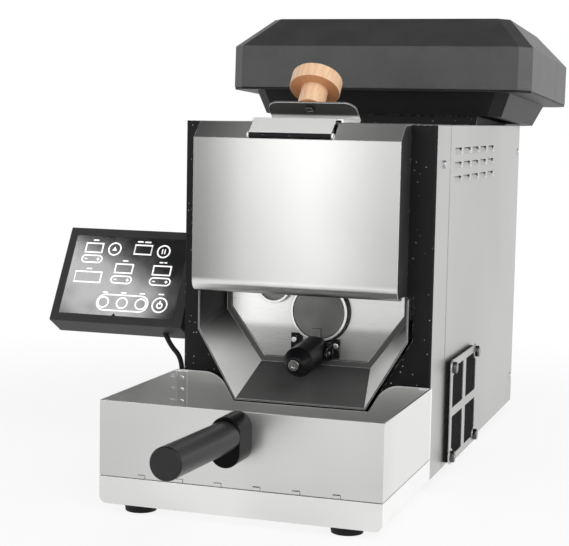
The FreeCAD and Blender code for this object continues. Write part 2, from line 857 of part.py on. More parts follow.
def lid_hinge_bar():
    x0 = LID_X - TONGUE_W / 2
    return tube(x0, LID_PIN_Y, LID_PIN_Z, LID_BAR_R, LID_BAR_BORE, TONGUE_W, X_AXIS)


def lid_hinge_pin():
    half = TONGUE_W / 2 + SEAM + EAR_T
    return rod(LID_X - half, LID_PIN_Y, LID_PIN_Z, LID_PIN_R, 2 * half, X_AXIS)


def lid_hinge_bracket():
    """Two ears beside the tongue, joined by a strap behind the cover's front skin."""
    y_in = -COVER_OUT + SHEET
    top = BEVEL_Z - STRAP_DROP
    low = top - STRAP_H
    ears = []
    for side in (-1, 1):
        x = LID_X + side * (TONGUE_W / 2 + SEAM)
        near, far = sorted((x, x + side * EAR_T))
        ear = rod(near, LID_PIN_Y, LID_PIN_Z, LID_BAR_R, EAR_T, X_AXIS)
        leg = block(near, far, y_in, LID_PIN_Y + LID_BAR_R, low, LID_PIN_Z)
        ears += [ear, leg]
    x_half = TONGUE_W / 2 + SEAM + EAR_T
    strap = block(LID_X - x_half, LID_X + x_half, y_in, y_in + SHEET, low, top)
    bracket = one(ears + [strap]).cut(front_cover())
    return bracket.cut(rod(LID_X - LID_W, LID_PIN_Y, LID_PIN_Z, LID_PIN_R, 2 * LID_W, X_AXIS))


def hopper_prism(inset, x_half):
    """The hopper's side outline, set in by the sheet for its inside."""
    y0, y1 = HOPPER_Y0 + inset, HOPPER_Y1 - inset
    low, high = INLET_LOW + inset, INLET_HIGH - inset
    rim = TOP - SHEET
    points = [(y0, rim), (y0, rim - HOPPER_FRONT_DROP), (PLATE_Y - HOPPER_LIP, low), (PLATE_Y, low),
              (PLATE_Y, high), (PLATE_Y - HOPPER_LIFT - inset, high + HOPPER_LIFT),
              (y1, rim - HOPPER_BACK_DROP), (y1, rim)]
    return side_profile(points, LID_X - x_half, LID_X + x_half)


def inlet_hopper():
    outer = hopper_prism(0, HOPPER_W / 2 + SHEET)
    return outer.cut(hopper_prism(SHEET, HOPPER_W / 2))


# ---- recess plate and ports ----
def recess_plate():
    plate = block(-PLATE_HALF, PLATE_HALF, PLATE_Y, PLATE_BACK, PLATE_LOW, TOP - SHEET)
    plate = plate.cut(block(LID_X - HOPPER_W / 2, LID_X + HOPPER_W / 2, PLATE_Y - 1, PLATE_BACK + 1,
                            INLET_LOW + SHEET, INLET_HIGH - SHEET))
    plate = plate.cut(rod(PORT_X, PLATE_Y - 1, PORT_Z, PORT_R, PLATE_T + 2, Y_AXIS))
    plate = plate.cut(rod(SIGHT_X, PLATE_Y - 1, SIGHT_Z, SIGHT_R - SIGHT_SEAT, PLATE_T + 2, Y_AXIS))
    plate = plate.cut(probe_hole())
    # the lower corners follow the chute's slanted walls
    slope_x, slope_z = CHUTE_BACK_W / 2, CHUTE_BACK_BEND
    low_x = CHUTE_BACK_FLOOR_W / 2
    for side in (-1, 1):
        corner = [(side * (slope_x - PLATE_TUCK), slope_z), (side * (low_x - PLATE_TUCK), PLATE_LOW - 1),
                  (side * HALF, PLATE_LOW - 1), (side * HALF, slope_z)]
        plate = plate.cut(front_profile(corner, PLATE_Y - 1, PLATE_BACK + 1))
    for x, z in bracket_screw_points():
        plate = plate.cut(rod(x, PLATE_Y - 1, z, SCREW_R, PLATE_T + 2, Y_AXIS))
    return one([plate, discharge_port_ring(), port_ring(SIGHT_X, SIGHT_Z, SIGHT_R, PORT_OUT)])


def port_ring(x, z, r, out):
    return tube(x, PLATE_Y - out, z, r + PORT_WALL, r, out, Y_AXIS)


def discharge_port_ring():
    ring = port_ring(PORT_X, PORT_Z, PORT_R, PORT_OUT)
    half = DOOR_ARM_W / 2 + DOOR_ARM_CLEAR
    gap = block(DOOR_ARM_X - half, DOOR_ARM_X + half, PLATE_Y - PORT_OUT - 1, PLATE_Y,
                PORT_Z - PORT_R - PORT_WALL - 1, PORT_Z - PORT_R + DOOR_GAP_UP)
    return ring.cut(gap)


def sight_glass():
    return rod(SIGHT_X, PLATE_Y - SIGHT_GLASS_T, SIGHT_Z, SIGHT_R, SIGHT_GLASS_T, Y_AXIS)


# ---- discharge door and lever ----
def about_pin(shape, degrees):
    return turned(shape, Vector(0, LEVER_PIN_Y, LEVER_PIN_Z), X_AXIS, degrees)


def discharge_lever():
    back = LEVER_PIN_Y + LEVER_TAIL
    tip = LEVER_FRONT - LEVER_NOSE
    tip_point = Vector(LEVER_X, tip, LEVER_PIN_Z)
    barrel = rod(LEVER_X, LEVER_FRONT, LEVER_PIN_Z, LEVER_R, back - LEVER_FRONT, Y_AXIS)
    nose = Part.makeCone(LEVER_NOSE_R, LEVER_R, LEVER_NOSE, tip_point, Y_AXIS)
    nose = nose.makeFillet(LEVER_NOSE_EDGE, [outer_rim(nose, tip_point)])
    lever = one([barrel, nose])
    lever = lever.cut(rod(LEVER_X, tip - 1, LEVER_PIN_Z, LEVER_SCREW_R, LEVER_SCREW_L + 1, Y_AXIS))
    lever = about_pin(lever, LEVER_DROOP)
    bore_r = LEVER_PIN_R + BEARING_CLEAR
    x0 = LEVER_X - 2 * LEVER_R
    lever = lever.cut(rod(x0, LEVER_PIN_Y, LEVER_PIN_Z, bore_r, 4 * LEVER_R, X_AXIS))
    return lever.cut(door_arm_block())


def lever_nose_screw():
    front = LEVER_FRONT - LEVER_NOSE
    washer = tube(LEVER_X, front - LEVER_WASHER_T, LEVER_PIN_Z, LEVER_WASHER_R, LEVER_WASHER_BORE,
                  LEVER_WASHER_T, Y_AXIS)
    shank = rod(LEVER_X, front - LEVER_SCREW_OUT, LEVER_PIN_Z, LEVER_SCREW_R, LEVER_SCREW_L, Y_AXIS)
    return about_pin(one([washer, shank]), LEVER_DROOP)


def door_arm_block():
    """The flat arm that ties the door to the lever's back end."""
    half = DOOR_ARM_W / 2
    return block(DOOR_ARM_X - half, DOOR_ARM_X + half, DOOR_Y - DOOR_ARM_T, DOOR_Y,
                 LEVER_PIN_Z + DOOR_ARM_UP, PORT_Z - PORT_R + DOOR_ARM_LAP)


def discharge_door():
    disc = rod(PORT_X, DOOR_Y, PORT_Z, PORT_R - DOOR_CLEAR, DOOR_T, Y_AXIS)
    return one([disc, door_arm_block()])


def bracket_cheek_x():
    return LEVER_R + BRACKET_GAP


def bracket_screw_points():
    x = bracket_cheek_x() + BRACKET_T + BRACKET_SCREW_R
    left = (LEVER_X - x - BRACKET_REACH, LEVER_PIN_Z + BRACKET_SCREW_UP_LEFT)
    right = (LEVER_X + x, LEVER_PIN_Z + BRACKET_SCREW_UP_RIGHT)
    return [left, right]


def discharge_bracket():
    """A cheek on each side of the lever, each with its own foot on the plate."""
    cheeks = []
    low = LEVER_PIN_Z - BRACKET_DOWN
    for screw_x, screw_z in bracket_screw_points():
        side = 1 if screw_x > LEVER_X else -1
        x0 = LEVER_X + side * bracket_cheek_x()
        near, far = sorted((x0, x0 + side * BRACKET_T))
        cheek = block(near, far, LEVER_PIN_Y - BRACKET_FRONT, PLATE_Y, low, LEVER_PIN_Z + BRACKET_UP)
        cheek = cheek.makeFillet(BRACKET_ROUND_R, [e for e in cheek.Edges if is_cheek_corner(e)])
        near, far = sorted((x0, screw_x + side * (BRACKET_SCREW_R + BRACKET_MARGIN)))
        foot = block(near, far, PLATE_Y - BRACKET_T, PLATE_Y, low, screw_z + BRACKET_UP)
        foot = foot.cut(rod(PORT_X, 0, PORT_Z, PORT_R + PORT_WALL + SEAM, HALF, Y_AXIS))
        cheeks.append(one([cheek, foot]))
    bracket = many(cheeks)
    bracket = bracket.cut(rod(-HALF, LEVER_PIN_Y, LEVER_PIN_Z, LEVER_PIN_R, BODY_W, X_AXIS))
    for x, z in bracket_screw_points():
        bracket = bracket.cut(rod(x, 0, z, SCREW_R, PLATE_BACK, Y_AXIS))
    return bracket


def is_cheek_corner(edge):
    box = edge.BoundBox
    along_x = box.XLength > 1 and box.YLength < NEAR and box.ZLength < NEAR
    return along_x and box.YMin < LEVER_PIN_Y


def discharge_pin():
    half = bracket_cheek_x() + BRACKET_T + LEVER_PIN_OUT
    return rod(LEVER_X - half, LEVER_PIN_Y, LEVER_PIN_Z, LEVER_PIN_R, 2 * half, X_AXIS)


def chute_section(y, inset, wide, floor_w, bend_z, low):
    """Six corners of the chute's outline at one depth, moved inwards by a distance."""
    x = wide / 2 - inset
    fx = floor_w / 2 - inset * CHUTE_LEAN
    top = COVER_Z + CHUTE_RISE
    points = [(-x, top), (-x, bend_z + inset / 2), (-fx, low + inset), (fx, low + inset),
              (x, bend_z + inset / 2), (x, top)]
    return Part.makePolygon([Vector(px, y, pz) for px, pz in points + points[:1]])


def chute_between(front_size, back_size, y):
    """A chute size at depth y, on the line from its front value to its back value."""
    share = (y - CHUTE_FRONT) / (PLATE_Y - CHUTE_FRONT)
    return front_size + (back_size - front_size) * share


def chute_solid(inset, front, back):
    """Ruled between the front and back outlines and run on straight past both ends."""
    sections = []
    for y in (front, back):
        sections.append(chute_section(y, inset, chute_between(CHUTE_W, CHUTE_BACK_W, y),
                                      chute_between(CHUTE_FLOOR_W, CHUTE_BACK_FLOOR_W, y),
                                      chute_between(CHUTE_BEND, CHUTE_BACK_BEND, y),
                                      chute_between(CHUTE_LOW, PLATE_LOW, y)))
    return Part.makeLoft(sections, True, True)


def discharge_chute():
    """The trough, with a flange inside its back edge that lies on the recess plate."""
    outer = chute_solid(0, CHUTE_FRONT, PLATE_Y)
    inner = chute_solid(SHEET, CHUTE_FRONT - 1, PLATE_Y - SHEET)
    mouth = chute_solid(SHEET + CHUTE_FLANGE, PLATE_Y - 2 * SHEET, PLATE_Y + 1)
    trough = outer.cut(inner).cut(mouth)
    return trough.cut(block(-HALF, HALF, CHUTE_FRONT - 2, PLATE_Y + 2, COVER_Z - 1, TOP))


# ---- roasting drum ----
def drum_rod(r, y0, y1):
    return rod(0, y0, DRUM_Z, r, y1 - y0, Y_AXIS)


def roasting_drum():
    """The welded drum: an open shell, mixing vanes and the spider that takes the shaft."""
    shell = drum_rod(DRUM_R + DRUM_T, DRUM_Y0, DRUM_Y1)
    shell = shell.cut(drum_rod(DRUM_R, DRUM_Y0 - 1, DRUM_Y1 + 1))
    return one([shell, drum_spider()] + drum_vanes())


def drum_vanes():
    vanes = []
    space = drum_rod(DRUM_R, DRUM_Y0, DRUM_Y1)
    for index in range(VANE_COUNT):
        vane = block(-SHEET / 2, SHEET / 2, DRUM_Y0 + VANE_FRONT, DRUM_Y1 - VANE_REAR,
                     DRUM_Z + DRUM_R - VANE_H, DRUM_Z + DRUM_R + 2)
        vane = turned(vane, Vector(0, 0, DRUM_Z), Y_AXIS, VANE_TURN + index * 360 / VANE_COUNT)
        vanes.append(vane.common(space))
    return vanes


def drum_spider():
    disc = drum_rod(DRUM_R, DRUM_Y1 - SPIDER_T, DRUM_Y1)
    hub = drum_rod(SHAFT_R + SPIDER_HUB_WALL, DRUM_Y1 - SPIDER_HUB_L, DRUM_Y1)
    spider = one([disc, hub])
    for index in range(SPIDER_ARMS):
        angle = math.radians(360 / SPIDER_ARMS * index)
        x = SPIDER_WINDOW_AT * math.cos(angle)
        z = DRUM_Z + SPIDER_WINDOW_AT * math.sin(angle)
        spider = spider.cut(rod(x, DRUM_Y1 - SPIDER_T - 1, z, SPIDER_WINDOW_R, SPIDER_T + 2, Y_AXIS))
    return spider.cut(drum_rod(SHAFT_R, DRUM_Y0, REAR_PLATE_Y))


def coupling_start():
    return REAR_PLATE_END + COUPLING_GAP


def motor_face():
    return coupling_start() + COUPLING_L + MOTOR_GAP


def drum_shaft():
    return drum_rod(SHAFT_R, DRUM_Y1 - SHAFT_IN, coupling_start() + COUPLING_L / 2)


def shaft_coupling():
    sleeve = drum_rod(COUPLING_R, coupling_start(), coupling_start() + COUPLING_L)
    sleeve = sleeve.cut(drum_rod(SHAFT_R, coupling_start() - 1, coupling_start() + COUPLING_L / 2))
    return sleeve.cut(drum_rod(MOTOR_SHAFT_R, coupling_start(), coupling_start() + COUPLING_L + 1))


def motor_shaft():
    return drum_rod(MOTOR_SHAFT_R, coupling_start() + COUPLING_L / 2, motor_face() + MOTOR_SHAFT_IN)


def gear_motor():
    y0 = motor_face()
    y1 = y0 + MOTOR_L
    gearbox = drum_rod(MOTOR_R, y0, y0 + GEARBOX_L)
    can = drum_rod(MOTOR_R - MOTOR_CAN_STEP, y0 + GEARBOX_L, y1)
    cap = drum_rod(MOTOR_CAP_R, y1, y1 + MOTOR_CAP_L)
    bore = drum_rod(MOTOR_SHAFT_R + BEARING_CLEAR, y0 - 1, y0 + MOTOR_SHAFT_IN + 1)
    return one([gearbox, can, cap]).cut(bore)


def motor_stirrup():
    """A stirrup that stands off the rear plate and carries the motor's face."""
    y0, y1 = REAR_PLATE_END, motor_face()
    half = MOTOR_R + STIRRUP_WIDER
    low, high = DRUM_Z - MOTOR_R, DRUM_Z + MOTOR_R
    face = block(-half, half, y1 - STIRRUP_T, y1, low, high)
    legs = [block(x, x + STIRRUP_T, y0, y1, low, high) for x in (-half, half - STIRRUP_T)]
    return one([face] + legs).cut(drum_rod(STIRRUP_BORE_R, y1 - STIRRUP_T - 1, y1 + 1))


def rear_plate_half():
    return HOUSING_R + SHEET + REAR_PLATE_MARGIN


def drum_rear_plate():
    """The plate behind the drum, with its stand and the motor's stirrup welded on."""
    half = rear_plate_half()
    plate = block(-half, half, REAR_PLATE_Y, REAR_PLATE_END, DRUM_Z - half, DRUM_Z + half)
    plate = one([plate, motor_stirrup()] + stand_legs())
    plate = plate.cut(drum_rod(BEARING_R, REAR_PLATE_Y - 1, REAR_PLATE_END + 1))
    return plate.cut(exhaust_port(REAR_PLATE_Y - 1, REAR_PLATE_END + 1))


def stand_legs():
    """Two folded legs that carry the rear plate off the base pan."""
    x0, y0 = -rear_plate_half(), REAR_PLATE_END
    wall = block(x0, x0 + STAND_W, y0, y0 + SHEET, FLOOR + SHEET, DRUM_Z)
    foot = block(x0, x0 + STAND_W, y0, y0 + STAND_W, FLOOR + SHEET, FLOOR + 2 * SHEET)
    left = one([wall, foot])
    right = left.mirror(Vector(0, 0, 0), X_AXIS)
    return [left, right]


def exhaust_port(y0, y1):
    half = EXHAUST_PORT_W / 2
    return block(-half, half, y0, y1, DRUM_Z + EXHAUST_PORT_LOW, DRUM_Z + EXHAUST_PORT_HIGH)


def exhaust_duct():
    half = EXHAUST_W / 2
    y0, y1 = REAR_PLATE_END, EXHAUST_Y1
    low, high = DRUM_Z + EXHAUST_LOW, TOP - SHEET
    outer = block(-half, half, y0, y1, low, high)
    inner = block(-half + SHEET, half - SHEET, y0 + SHEET, y1 - SHEET, low + SHEET, high + 1)
    return outer.cut(inner).cut(exhaust_port(y0 - 1, y0 + 2 * SHEET))


def drum_bearing():
    front, back = REAR_PLATE_Y - BEARING_FRONT, REAR_PLATE_END + BEARING_RIM_T
    sleeve = drum_rod(BEARING_R, front, REAR_PLATE_END)
    flange = drum_rod(BEARING_R + BEARING_RIM, REAR_PLATE_END, back)
    return one([sleeve, flange]).cut(drum_rod(SHAFT_R + BEARING_CLEAR, front - 1, back + 1))


def drum_housing():
    shell = drum_rod(HOUSING_R + SHEET, PLATE_BACK, REAR_PLATE_Y)
    return shell.cut(drum_rod(HOUSING_R, PLATE_BACK - 1, REAR_PLATE_Y + 1))


def heaters():
    reach = (DRUM_R + DRUM_T + HOUSING_R) / 2
    rods = []
    for angle in HEATER_ANGLES:
        a = math.radians(angle)
        rods.append(rod(reach * math.sin(a), PLATE_BACK, DRUM_Z - reach * math.cos(a), HEATER_R,
                        REAR_PLATE_Y - PLATE_BACK, Y_AXIS))
    return many(rods)


def probe_place():
    return PROBE_X, DRUM_Z - PROBE_DOWN


def probe_hole():
    x, z = probe_place()
    return rod(x, PLATE_Y - 1, z, PROBE_R, PLATE_T + 2, Y_AXIS)


def bean_probe():
    x, z = probe_place()
    stem = rod(x, PLATE_Y - PROBE_OUT, z, PROBE_R, PROBE_OUT + PROBE_L, Y_AXIS)
    nut = rod(x, PLATE_Y - PROBE_NUT_L, z, PROBE_NUT_R, PROBE_NUT_L, Y_AXIS)
    return one([stem, nut])


# ---- cooling tray ----
def tray_box(z0, z1, inset):
    half = TRAY_W / 2 - inset
    return block(-half, half, TRAY_FRONT + inset, TRAY_BACK - inset, z0, z1)


def tab_places():
    middle = (TAB_COUNT - 1) / 2
    return [(index - middle) * TAB_PITCH for index in range(TAB_COUNT)]


def notch_shoulder(x_rim, rise):
    """The rounding between the notch's slanted side and the tray's rim, on the right."""
    tangent = NOTCH_R / math.tan((math.pi - rise) / 2)
    x_end = x_rim + tangent
    x_low, z_low = x_rim - tangent * math.cos(rise), TRAY_RIM - tangent * math.sin(rise)
    points = [(x_low, z_low), (x_rim, TRAY_RIM), (x_rim, TRAY_RIM + 1), (x_end, TRAY_RIM + 1),
              (x_end, TRAY_RIM - NOTCH_R)]
    corner = front_profile(points, TRAY_BACK - NOTCH_DEPTH, TRAY_BACK + 1)
    y0 = TRAY_BACK - NOTCH_DEPTH - 1
    return corner.cut(rod(x_end, y0, TRAY_RIM - NOTCH_R, NOTCH_R, NOTCH_DEPTH + 3, Y_AXIS))


def chute_notch():
    """The opening in the tray's back wall that the chute comes through."""
    low = CHUTE_LOW - NOTCH_CLEAR
    half = CHUTE_FLOOR_W / 2 + NOTCH_CLEAR
    rise = math.atan2(CHUTE_BEND - CHUTE_LOW, CHUTE_W / 2 - CHUTE_FLOOR_W / 2)
    x_rim = half + (TRAY_RIM - low) / math.tan(rise)
    points = [(-x_rim, TRAY_RIM + 1), (-x_rim, TRAY_RIM), (-half, low), (half, low),
              (x_rim, TRAY_RIM), (x_rim, TRAY_RIM + 1)]
    middle = front_profile(points, TRAY_BACK - NOTCH_DEPTH, TRAY_BACK + 1)
    right = notch_shoulder(x_rim, rise)
    return one([middle, right, right.mirror(Vector(0, 0, 0), X_AXIS)])


def cooling_tray():
    walls = tray_box(SEAM_Z, TRAY_RIM, 0)
    walls = walls.cut(tray_box(SEAM_Z + SHEET, TRAY_RIM + 1, SHEET))
    walls = walls.cut(tray_box(SEAM_Z - 1, SEAM_Z + SHEET + 1, TRAY_LEDGE))
    seams = []
    for side in (-1, 1):
        x = side * (TRAY_W / 2 - SHEET)
        near, far = sorted((x, x - side * TRAY_LAP))
        seams.append(block(near, far, TRAY_BACK - 2 * SHEET, TRAY_BACK - SHEET,
                           SEAM_Z + TRAY_LAP_UP, TRAY_RIM - TRAY_LAP_DOWN))
    tray = one([walls] + seams + tray_rivets()).cut(chute_notch())
    half = TAB_W / 2 + TAB_GAP
    for x in tab_places():
        tray = tray.cut(block(x - half, x + half, TRAY_FRONT - 1, TRAY_FRONT + SHEET + SIEVE_GAP,
                              SEAM_Z - 1, SEAM_Z + SHEET + SIEVE_T + TAB_GAP))
    for z in handle_bolt_heights():
        tray = tray.cut(rod(0, TRAY_FRONT - 1, z, SCREW_R + BOLT_CLEAR, SHEET + 2, Y_AXIS))
    return tray


def tray_sieve():
    z0 = SEAM_Z + SHEET
    z1 = z0 + SIEVE_T
    plate = tray_box(z0, z1, SHEET + SIEVE_GAP)
    half = TAB_W / 2
    y0 = TRAY_FRONT - TAB_OUT
    tabs = []
    for x in tab_places():
        tabs.append(block(x - half, x + half, y0, TRAY_FRONT + SHEET + 1, z0, z1))
        tabs.append(block(x - half, x + half, y0, TRAY_FRONT, SEAM_Z + TAB_GAP, z1))
    plate = one([plate] + tabs)
    cols = int((TRAY_W / 2 - SIEVE_EDGE) / SIEVE_PITCH)
    rows = int((TRAY_L - 2 * SIEVE_EDGE) / SIEVE_PITCH)
    holes = []
    for col in range(-cols, cols + 1):
        for row in range(rows + 1):
            x = col * SIEVE_PITCH
            y = TRAY_FRONT + TRAY_L / 2 + (row - rows / 2) * SIEVE_PITCH
            holes.append(rod(x, y, z0 - 1, SIEVE_HOLE_R, 4, Z_AXIS))
    return plate.cut(many(holes))


def tray_rivets():
    rivets = []
    for side in (-1, 1):
        x = side * (TRAY_W / 2 - SHEET - TRAY_LAP / 2)
        for index in range(RIVET_COUNT):
            z = SEAM_Z + (index + 1) * RIVET_PITCH
            rivets.append(rod(x, TRAY_BACK - 2 * SHEET - RIVET_OUT, z, RIVET_R, RIVET_L, Y_AXIS))
    return rivets


def handle_bolt_heights():
    return HANDLE_Z - BOLTS_APART / 2, HANDLE_Z + BOLTS_APART / 2


def handle_bolts():
    bolts = []
    for z in handle_bolt_heights():
        bolts.append(screw(0, TRAY_FRONT + SHEET, z, Y_AXIS, SHEET + BOLT_IN))
    return many(bolts)


def tray_handle_base():
    r = HANDLE_W / 2
    y0 = TRAY_FRONT - HANDLE_T
    offset = HANDLE_H / 2 - r
    lobes = [rod(0, y0, HANDLE_Z + dz, r, HANDLE_T, Y_AXIS) for dz in (-offset, offset)]
    middle = block(-r, r, y0, TRAY_FRONT, HANDLE_Z - offset, HANDLE_Z + offset)
    base = one(lobes + [middle])
    front_edges = [edge for edge in base.Edges if edge.BoundBox.YMax < y0 + NEAR]
    base = base.makeFillet(HANDLE_EDGE, front_edges)
    for z in handle_bolt_heights():
        base = base.cut(rod(0, TRAY_FRONT - BOLT_IN, z, SCREW_R, BOLT_IN + 1, Y_AXIS))
    return base


def tray_handle_grip():
    start = TRAY_FRONT - HANDLE_T
    grip = rod(0, start - GRIP_L, GRIP_Z, GRIP_R, GRIP_L, Y_AXIS)
    grip = grip.makeFillet(GRIP_EDGE, [outer_rim(grip, Vector(0, start - GRIP_L, GRIP_Z))])
    grip = turned(grip, Vector(0, start, GRIP_Z), X_AXIS, -GRIP_TILT)
    return grip.cut(block(-GRIP_R * 2, GRIP_R * 2, start, start + GRIP_R, 0, 2 * GRIP_Z))


def tray_base():
    outer = tray_box(FLOOR, SEAM_Z, 0)
    outer = outer.makeFillet(BASE_CORNER, [e for e in outer.Edges if is_low_side_edge(e)])
    inner = tray_box(FLOOR + SHEET, SEAM_Z + 1, SHEET)
    inner = inner.makeFillet(BASE_CORNER - SHEET, [e for e in inner.Edges if is_low_side_edge(e)])
    line = tray_box(SEAM_Z - SEAM_LINE, SEAM_Z + 1, -1)
    line = line.cut(tray_box(SEAM_Z - 1, SEAM_Z + 2, SEAM_LINE))
    return outer.cut(inner).cut(duct_inner()).cut(line)


def is_low_side_edge(edge):
    box = edge.BoundBox
    level = box.ZLength < NEAR and box.ZMax < FLOOR + BASE_CORNER
    return level and box.YLength > 1 and box.XLength < NEAR


# ---- cooling air ----
def duct_outer(grow):
    low = FLOOR + SHEET
    half = TRAY_W / 2 - DUCT_SIDE + grow
    return block(-half, half, TRAY_BACK, DUCT_END, low - grow, low + DUCT_H + grow)


def duct_inner():
    low = FLOOR + SHEET
    half = TRAY_W / 2 - DUCT_SIDE - SHEET
    y0 = TRAY_BACK - 2 * BASE_CORNER
    return block(-half, half, y0, DUCT_END - SHEET, low + SHEET, low + DUCT_H - SHEET)


def cooling_duct():
    x1 = HALF - SHEET - FAN_T
    y0, y1 = FAN_Y - FAN / 2, FAN_Y + FAN / 2
    low, high = FAN_Z - FAN / 2, FAN_Z + FAN / 2
    x0 = x1 - CHAMBER_W
    chamber = block(x0, x1, y0, y1, low, high)
    hollow = block(x0 + SHEET, x1 + 1, y0 + SHEET, y1 - SHEET, low + SHEET, high - SHEET)
    return one([duct_outer(0), chamber]).cut(duct_inner()).cut(hollow)


def fan_hole_points():
    step = FAN_HOLES / 2
    return [(FAN_Y + sy * step, FAN_Z + sz * step) for sy in (-1, 1) for sz in (-1, 1)]


def guard_screw_points():
    step_y, step_z = GUARD_W / 2 - GUARD_SCREW_IN, GUARD_H / 2 - GUARD_SCREW_IN
    return [(FAN_Y + sy * step_y, FAN_Z + sz * step_z) for sy in (-1, 1) for sz in (-1, 1)]


def fan_frame_block():
    x1 = HALF - SHEET
    return x1 - FAN_T, x1


def cooling_fan_frame():
    x0, x1 = fan_frame_block()
    half = FAN / 2
    frame = block(x0, x1, FAN_Y - half, FAN_Y + half, FAN_Z - half, FAN_Z + half)
    uprights = [e for e in frame.Edges if e.BoundBox.XLength > FAN_T / 2]
    frame = frame.makeFillet(FAN_CORNER, uprights)
    frame = frame.cut(rod(x0 - 1, FAN_Y, FAN_Z, FAN_BORE_R, FAN_T + 2, X_AXIS))
    hub = rod(x0, FAN_Y, FAN_Z, FAN_HUB_R, STRUT_T, X_AXIS)
    struts = []
    for index in range(STRUTS):
        strut = block(x0, x0 + STRUT_T, FAN_Y + STRUT_START, FAN_Y + FAN_BORE_R + STRUT_LAP,
                      FAN_Z - STRUT_T / 2, FAN_Z + STRUT_T / 2)
        struts.append(turned(strut, Vector(0, FAN_Y, FAN_Z), X_AXIS, (index + 0.5) * 360 / STRUTS))
    frame = one([frame, hub] + struts)
    bore_r = FAN_SPINDLE_R + BEARING_CLEAR
    frame = frame.cut(rod(x0 - 1, FAN_Y, FAN_Z, bore_r, STRUT_T + 2, X_AXIS))
    for y, z in fan_hole_points():
        frame = frame.cut(rod(x0 - 1, y, z, SCREW_R, FAN_T + 2, X_AXIS))
    return frame


def cooling_impeller():
    start = fan_frame_block()[0]
    x0 = start + FAN_HUB_IN
    hub = rod(x0, FAN_Y, FAN_Z, FAN_HUB_R, FAN_HUB_L, X_AXIS)
    spindle = rod(start + SEAM, FAN_Y, FAN_Z, FAN_SPINDLE_R, FAN_HUB_IN + 1, X_AXIS)
    tip = FAN_BORE_R - BLADE_TIP_GAP
    space = rod(x0, FAN_Y, FAN_Z, tip, FAN_HUB_L, X_AXIS)
    half = FAN_HUB_L / 2
    blades = []
    for index in range(BLADES):
        blade = block(-BLADE_T / 2, BLADE_T / 2, FAN_HUB_R - BLADE_ROOT, tip, -half, half)
        blade = turned(blade, Vector(0, 0, 0), Y_AXIS, BLADE_TURN)
        blade = turned(blade, Vector(0, 0, 0), X_AXIS, 360 / BLADES * index)
        blade.translate(Vector(x0 + half, FAN_Y, FAN_Z))
        blades.append(blade.common(space))
    return one([hub, spindle] + blades)


def fan_filter():
    half_y, half_z = GUARD_W / 2 - FILTER_IN, GUARD_H / 2 - FILTER_IN
    pad = block(HALF, HALF + FILTER_T, FAN_Y - half_y, FAN_Y + half_y, FAN_Z - half_z, FAN_Z + half_z)
    for y, z in guard_screw_points():
        pad = pad.cut(rod(HALF - 1, y, z, SCREW_R, FILTER_T + 2, X_AXIS))
    return pad


def fan_guard():
    x0 = HALF + FILTER_T
    plate = block(x0, x0 + SHEET, FAN_Y - GUARD_W / 2, FAN_Y + GUARD_W / 2,
                  FAN_Z - GUARD_H / 2, FAN_Z + GUARD_H / 2)
    corners = [e for e in plate.Edges if e.BoundBox.XLength > SHEET / 2]
    plate = plate.makeFillet(GUARD_CORNER, corners)
    for sy in (-1, 1):
        for sz in (-1, 1):
            y = FAN_Y + sy * (WINDOW_BAR_W + WINDOW_W) / 2
            z = FAN_Z + sz * (WINDOW_BAR_H + WINDOW_H) / 2
            plate = plate.cut(block(x0 - 1, x0 + 2 * SHEET, y - WINDOW_W / 2, y + WINDOW_W / 2,
                                    z - WINDOW_H / 2, z + WINDOW_H / 2))
    pads = []
    for y, z in guard_screw_points():
        pads.append(rod(x0, y, z, GUARD_PAD_R, SHEET, X_AXIS))
    plate = one([plate] + pads)
    for y, z in guard_screw_points():
        plate = plate.cut(rod(x0 - 1, y, z, SCREW_R, SHEET + 2, X_AXIS))
    return plate


def guard_screws():
    x0 = HALF + FILTER_T + SHEET
    length = FILTER_T + 3 * SHEET
    knobs = []
    for y, z in guard_screw_points():
        head = rod(x0, y, z, GUARD_SCREW_R, GUARD_SCREW_H, X_AXIS)
        rim = outer_rim(head, Vector(x0 + GUARD_SCREW_H, y, z))
        head = head.makeFillet(GUARD_SCREW_EDGE, [rim])
        knobs.append(head.fuse(rod(x0 - length, y, z, SCREW_R, length, X_AXIS)))
    return many(knobs)


# ---- hood ----
def hood_outline(inset):
    half = HOOD_W / 2 - inset
    return octagon(half, HOOD_Y + inset, HOOD_Y + HOOD_D - inset, HOOD_CORNER - inset * INNER_SHARE)


def hood_top_outline(inset):
    half = HOOD_W / 2 - HOOD_BEVEL_IN - inset
    front, back = HOOD_Y + HOOD_FRONT_IN + inset, HOOD_Y + HOOD_D - HOOD_BEVEL_IN - inset
    return octagon(half, front, back, HOOD_TOP_CORNER - inset * INNER_SHARE)


def hood_solid(wall):
    rim, top = HOOD_Z + HOOD_RIM, HOOD_Z + HOOD_RIM + HOOD_BEVEL
    low = HOOD_Z - (1 if wall else 0)
    lower = plan_loft([(hood_outline(wall), low), (hood_outline(wall), rim)])
    upper = plan_loft([(hood_outline(wall), rim), (hood_top_outline(wall * INNER_SHARE), top - wall)])
    return one([lower, upper])


def hood_joint():
    """The fine groove between the hood's front and rear shells."""
    y = HOOD_Y + HOOD_JOINT
    cut = block(-HOOD_W, HOOD_W, y, y + HOOD_JOINT_W, HOOD_Z - 1, HOOD_Z + 2 * (HOOD_RIM + HOOD_BEVEL))
    return cut.cut(hood_solid(HOOD_JOINT_DEPTH))


def hood_cap():
    cap = hood_solid(0).cut(hood_solid(HOOD_WALL)).cut(hood_joint())
    y1 = HOOD_Y + HOOD_D
    half = HOOD_VENT_W / 2
    for row in range(HOOD_VENT_ROWS):
        z = HOOD_Z + HOOD_VENT_UP + row * HOOD_VENT_PITCH
        cap = cap.cut(block(-half, half, y1 - 2 * HOOD_WALL, y1 + 1, z, z + HOOD_VENT_H))
    return pitched(cap)


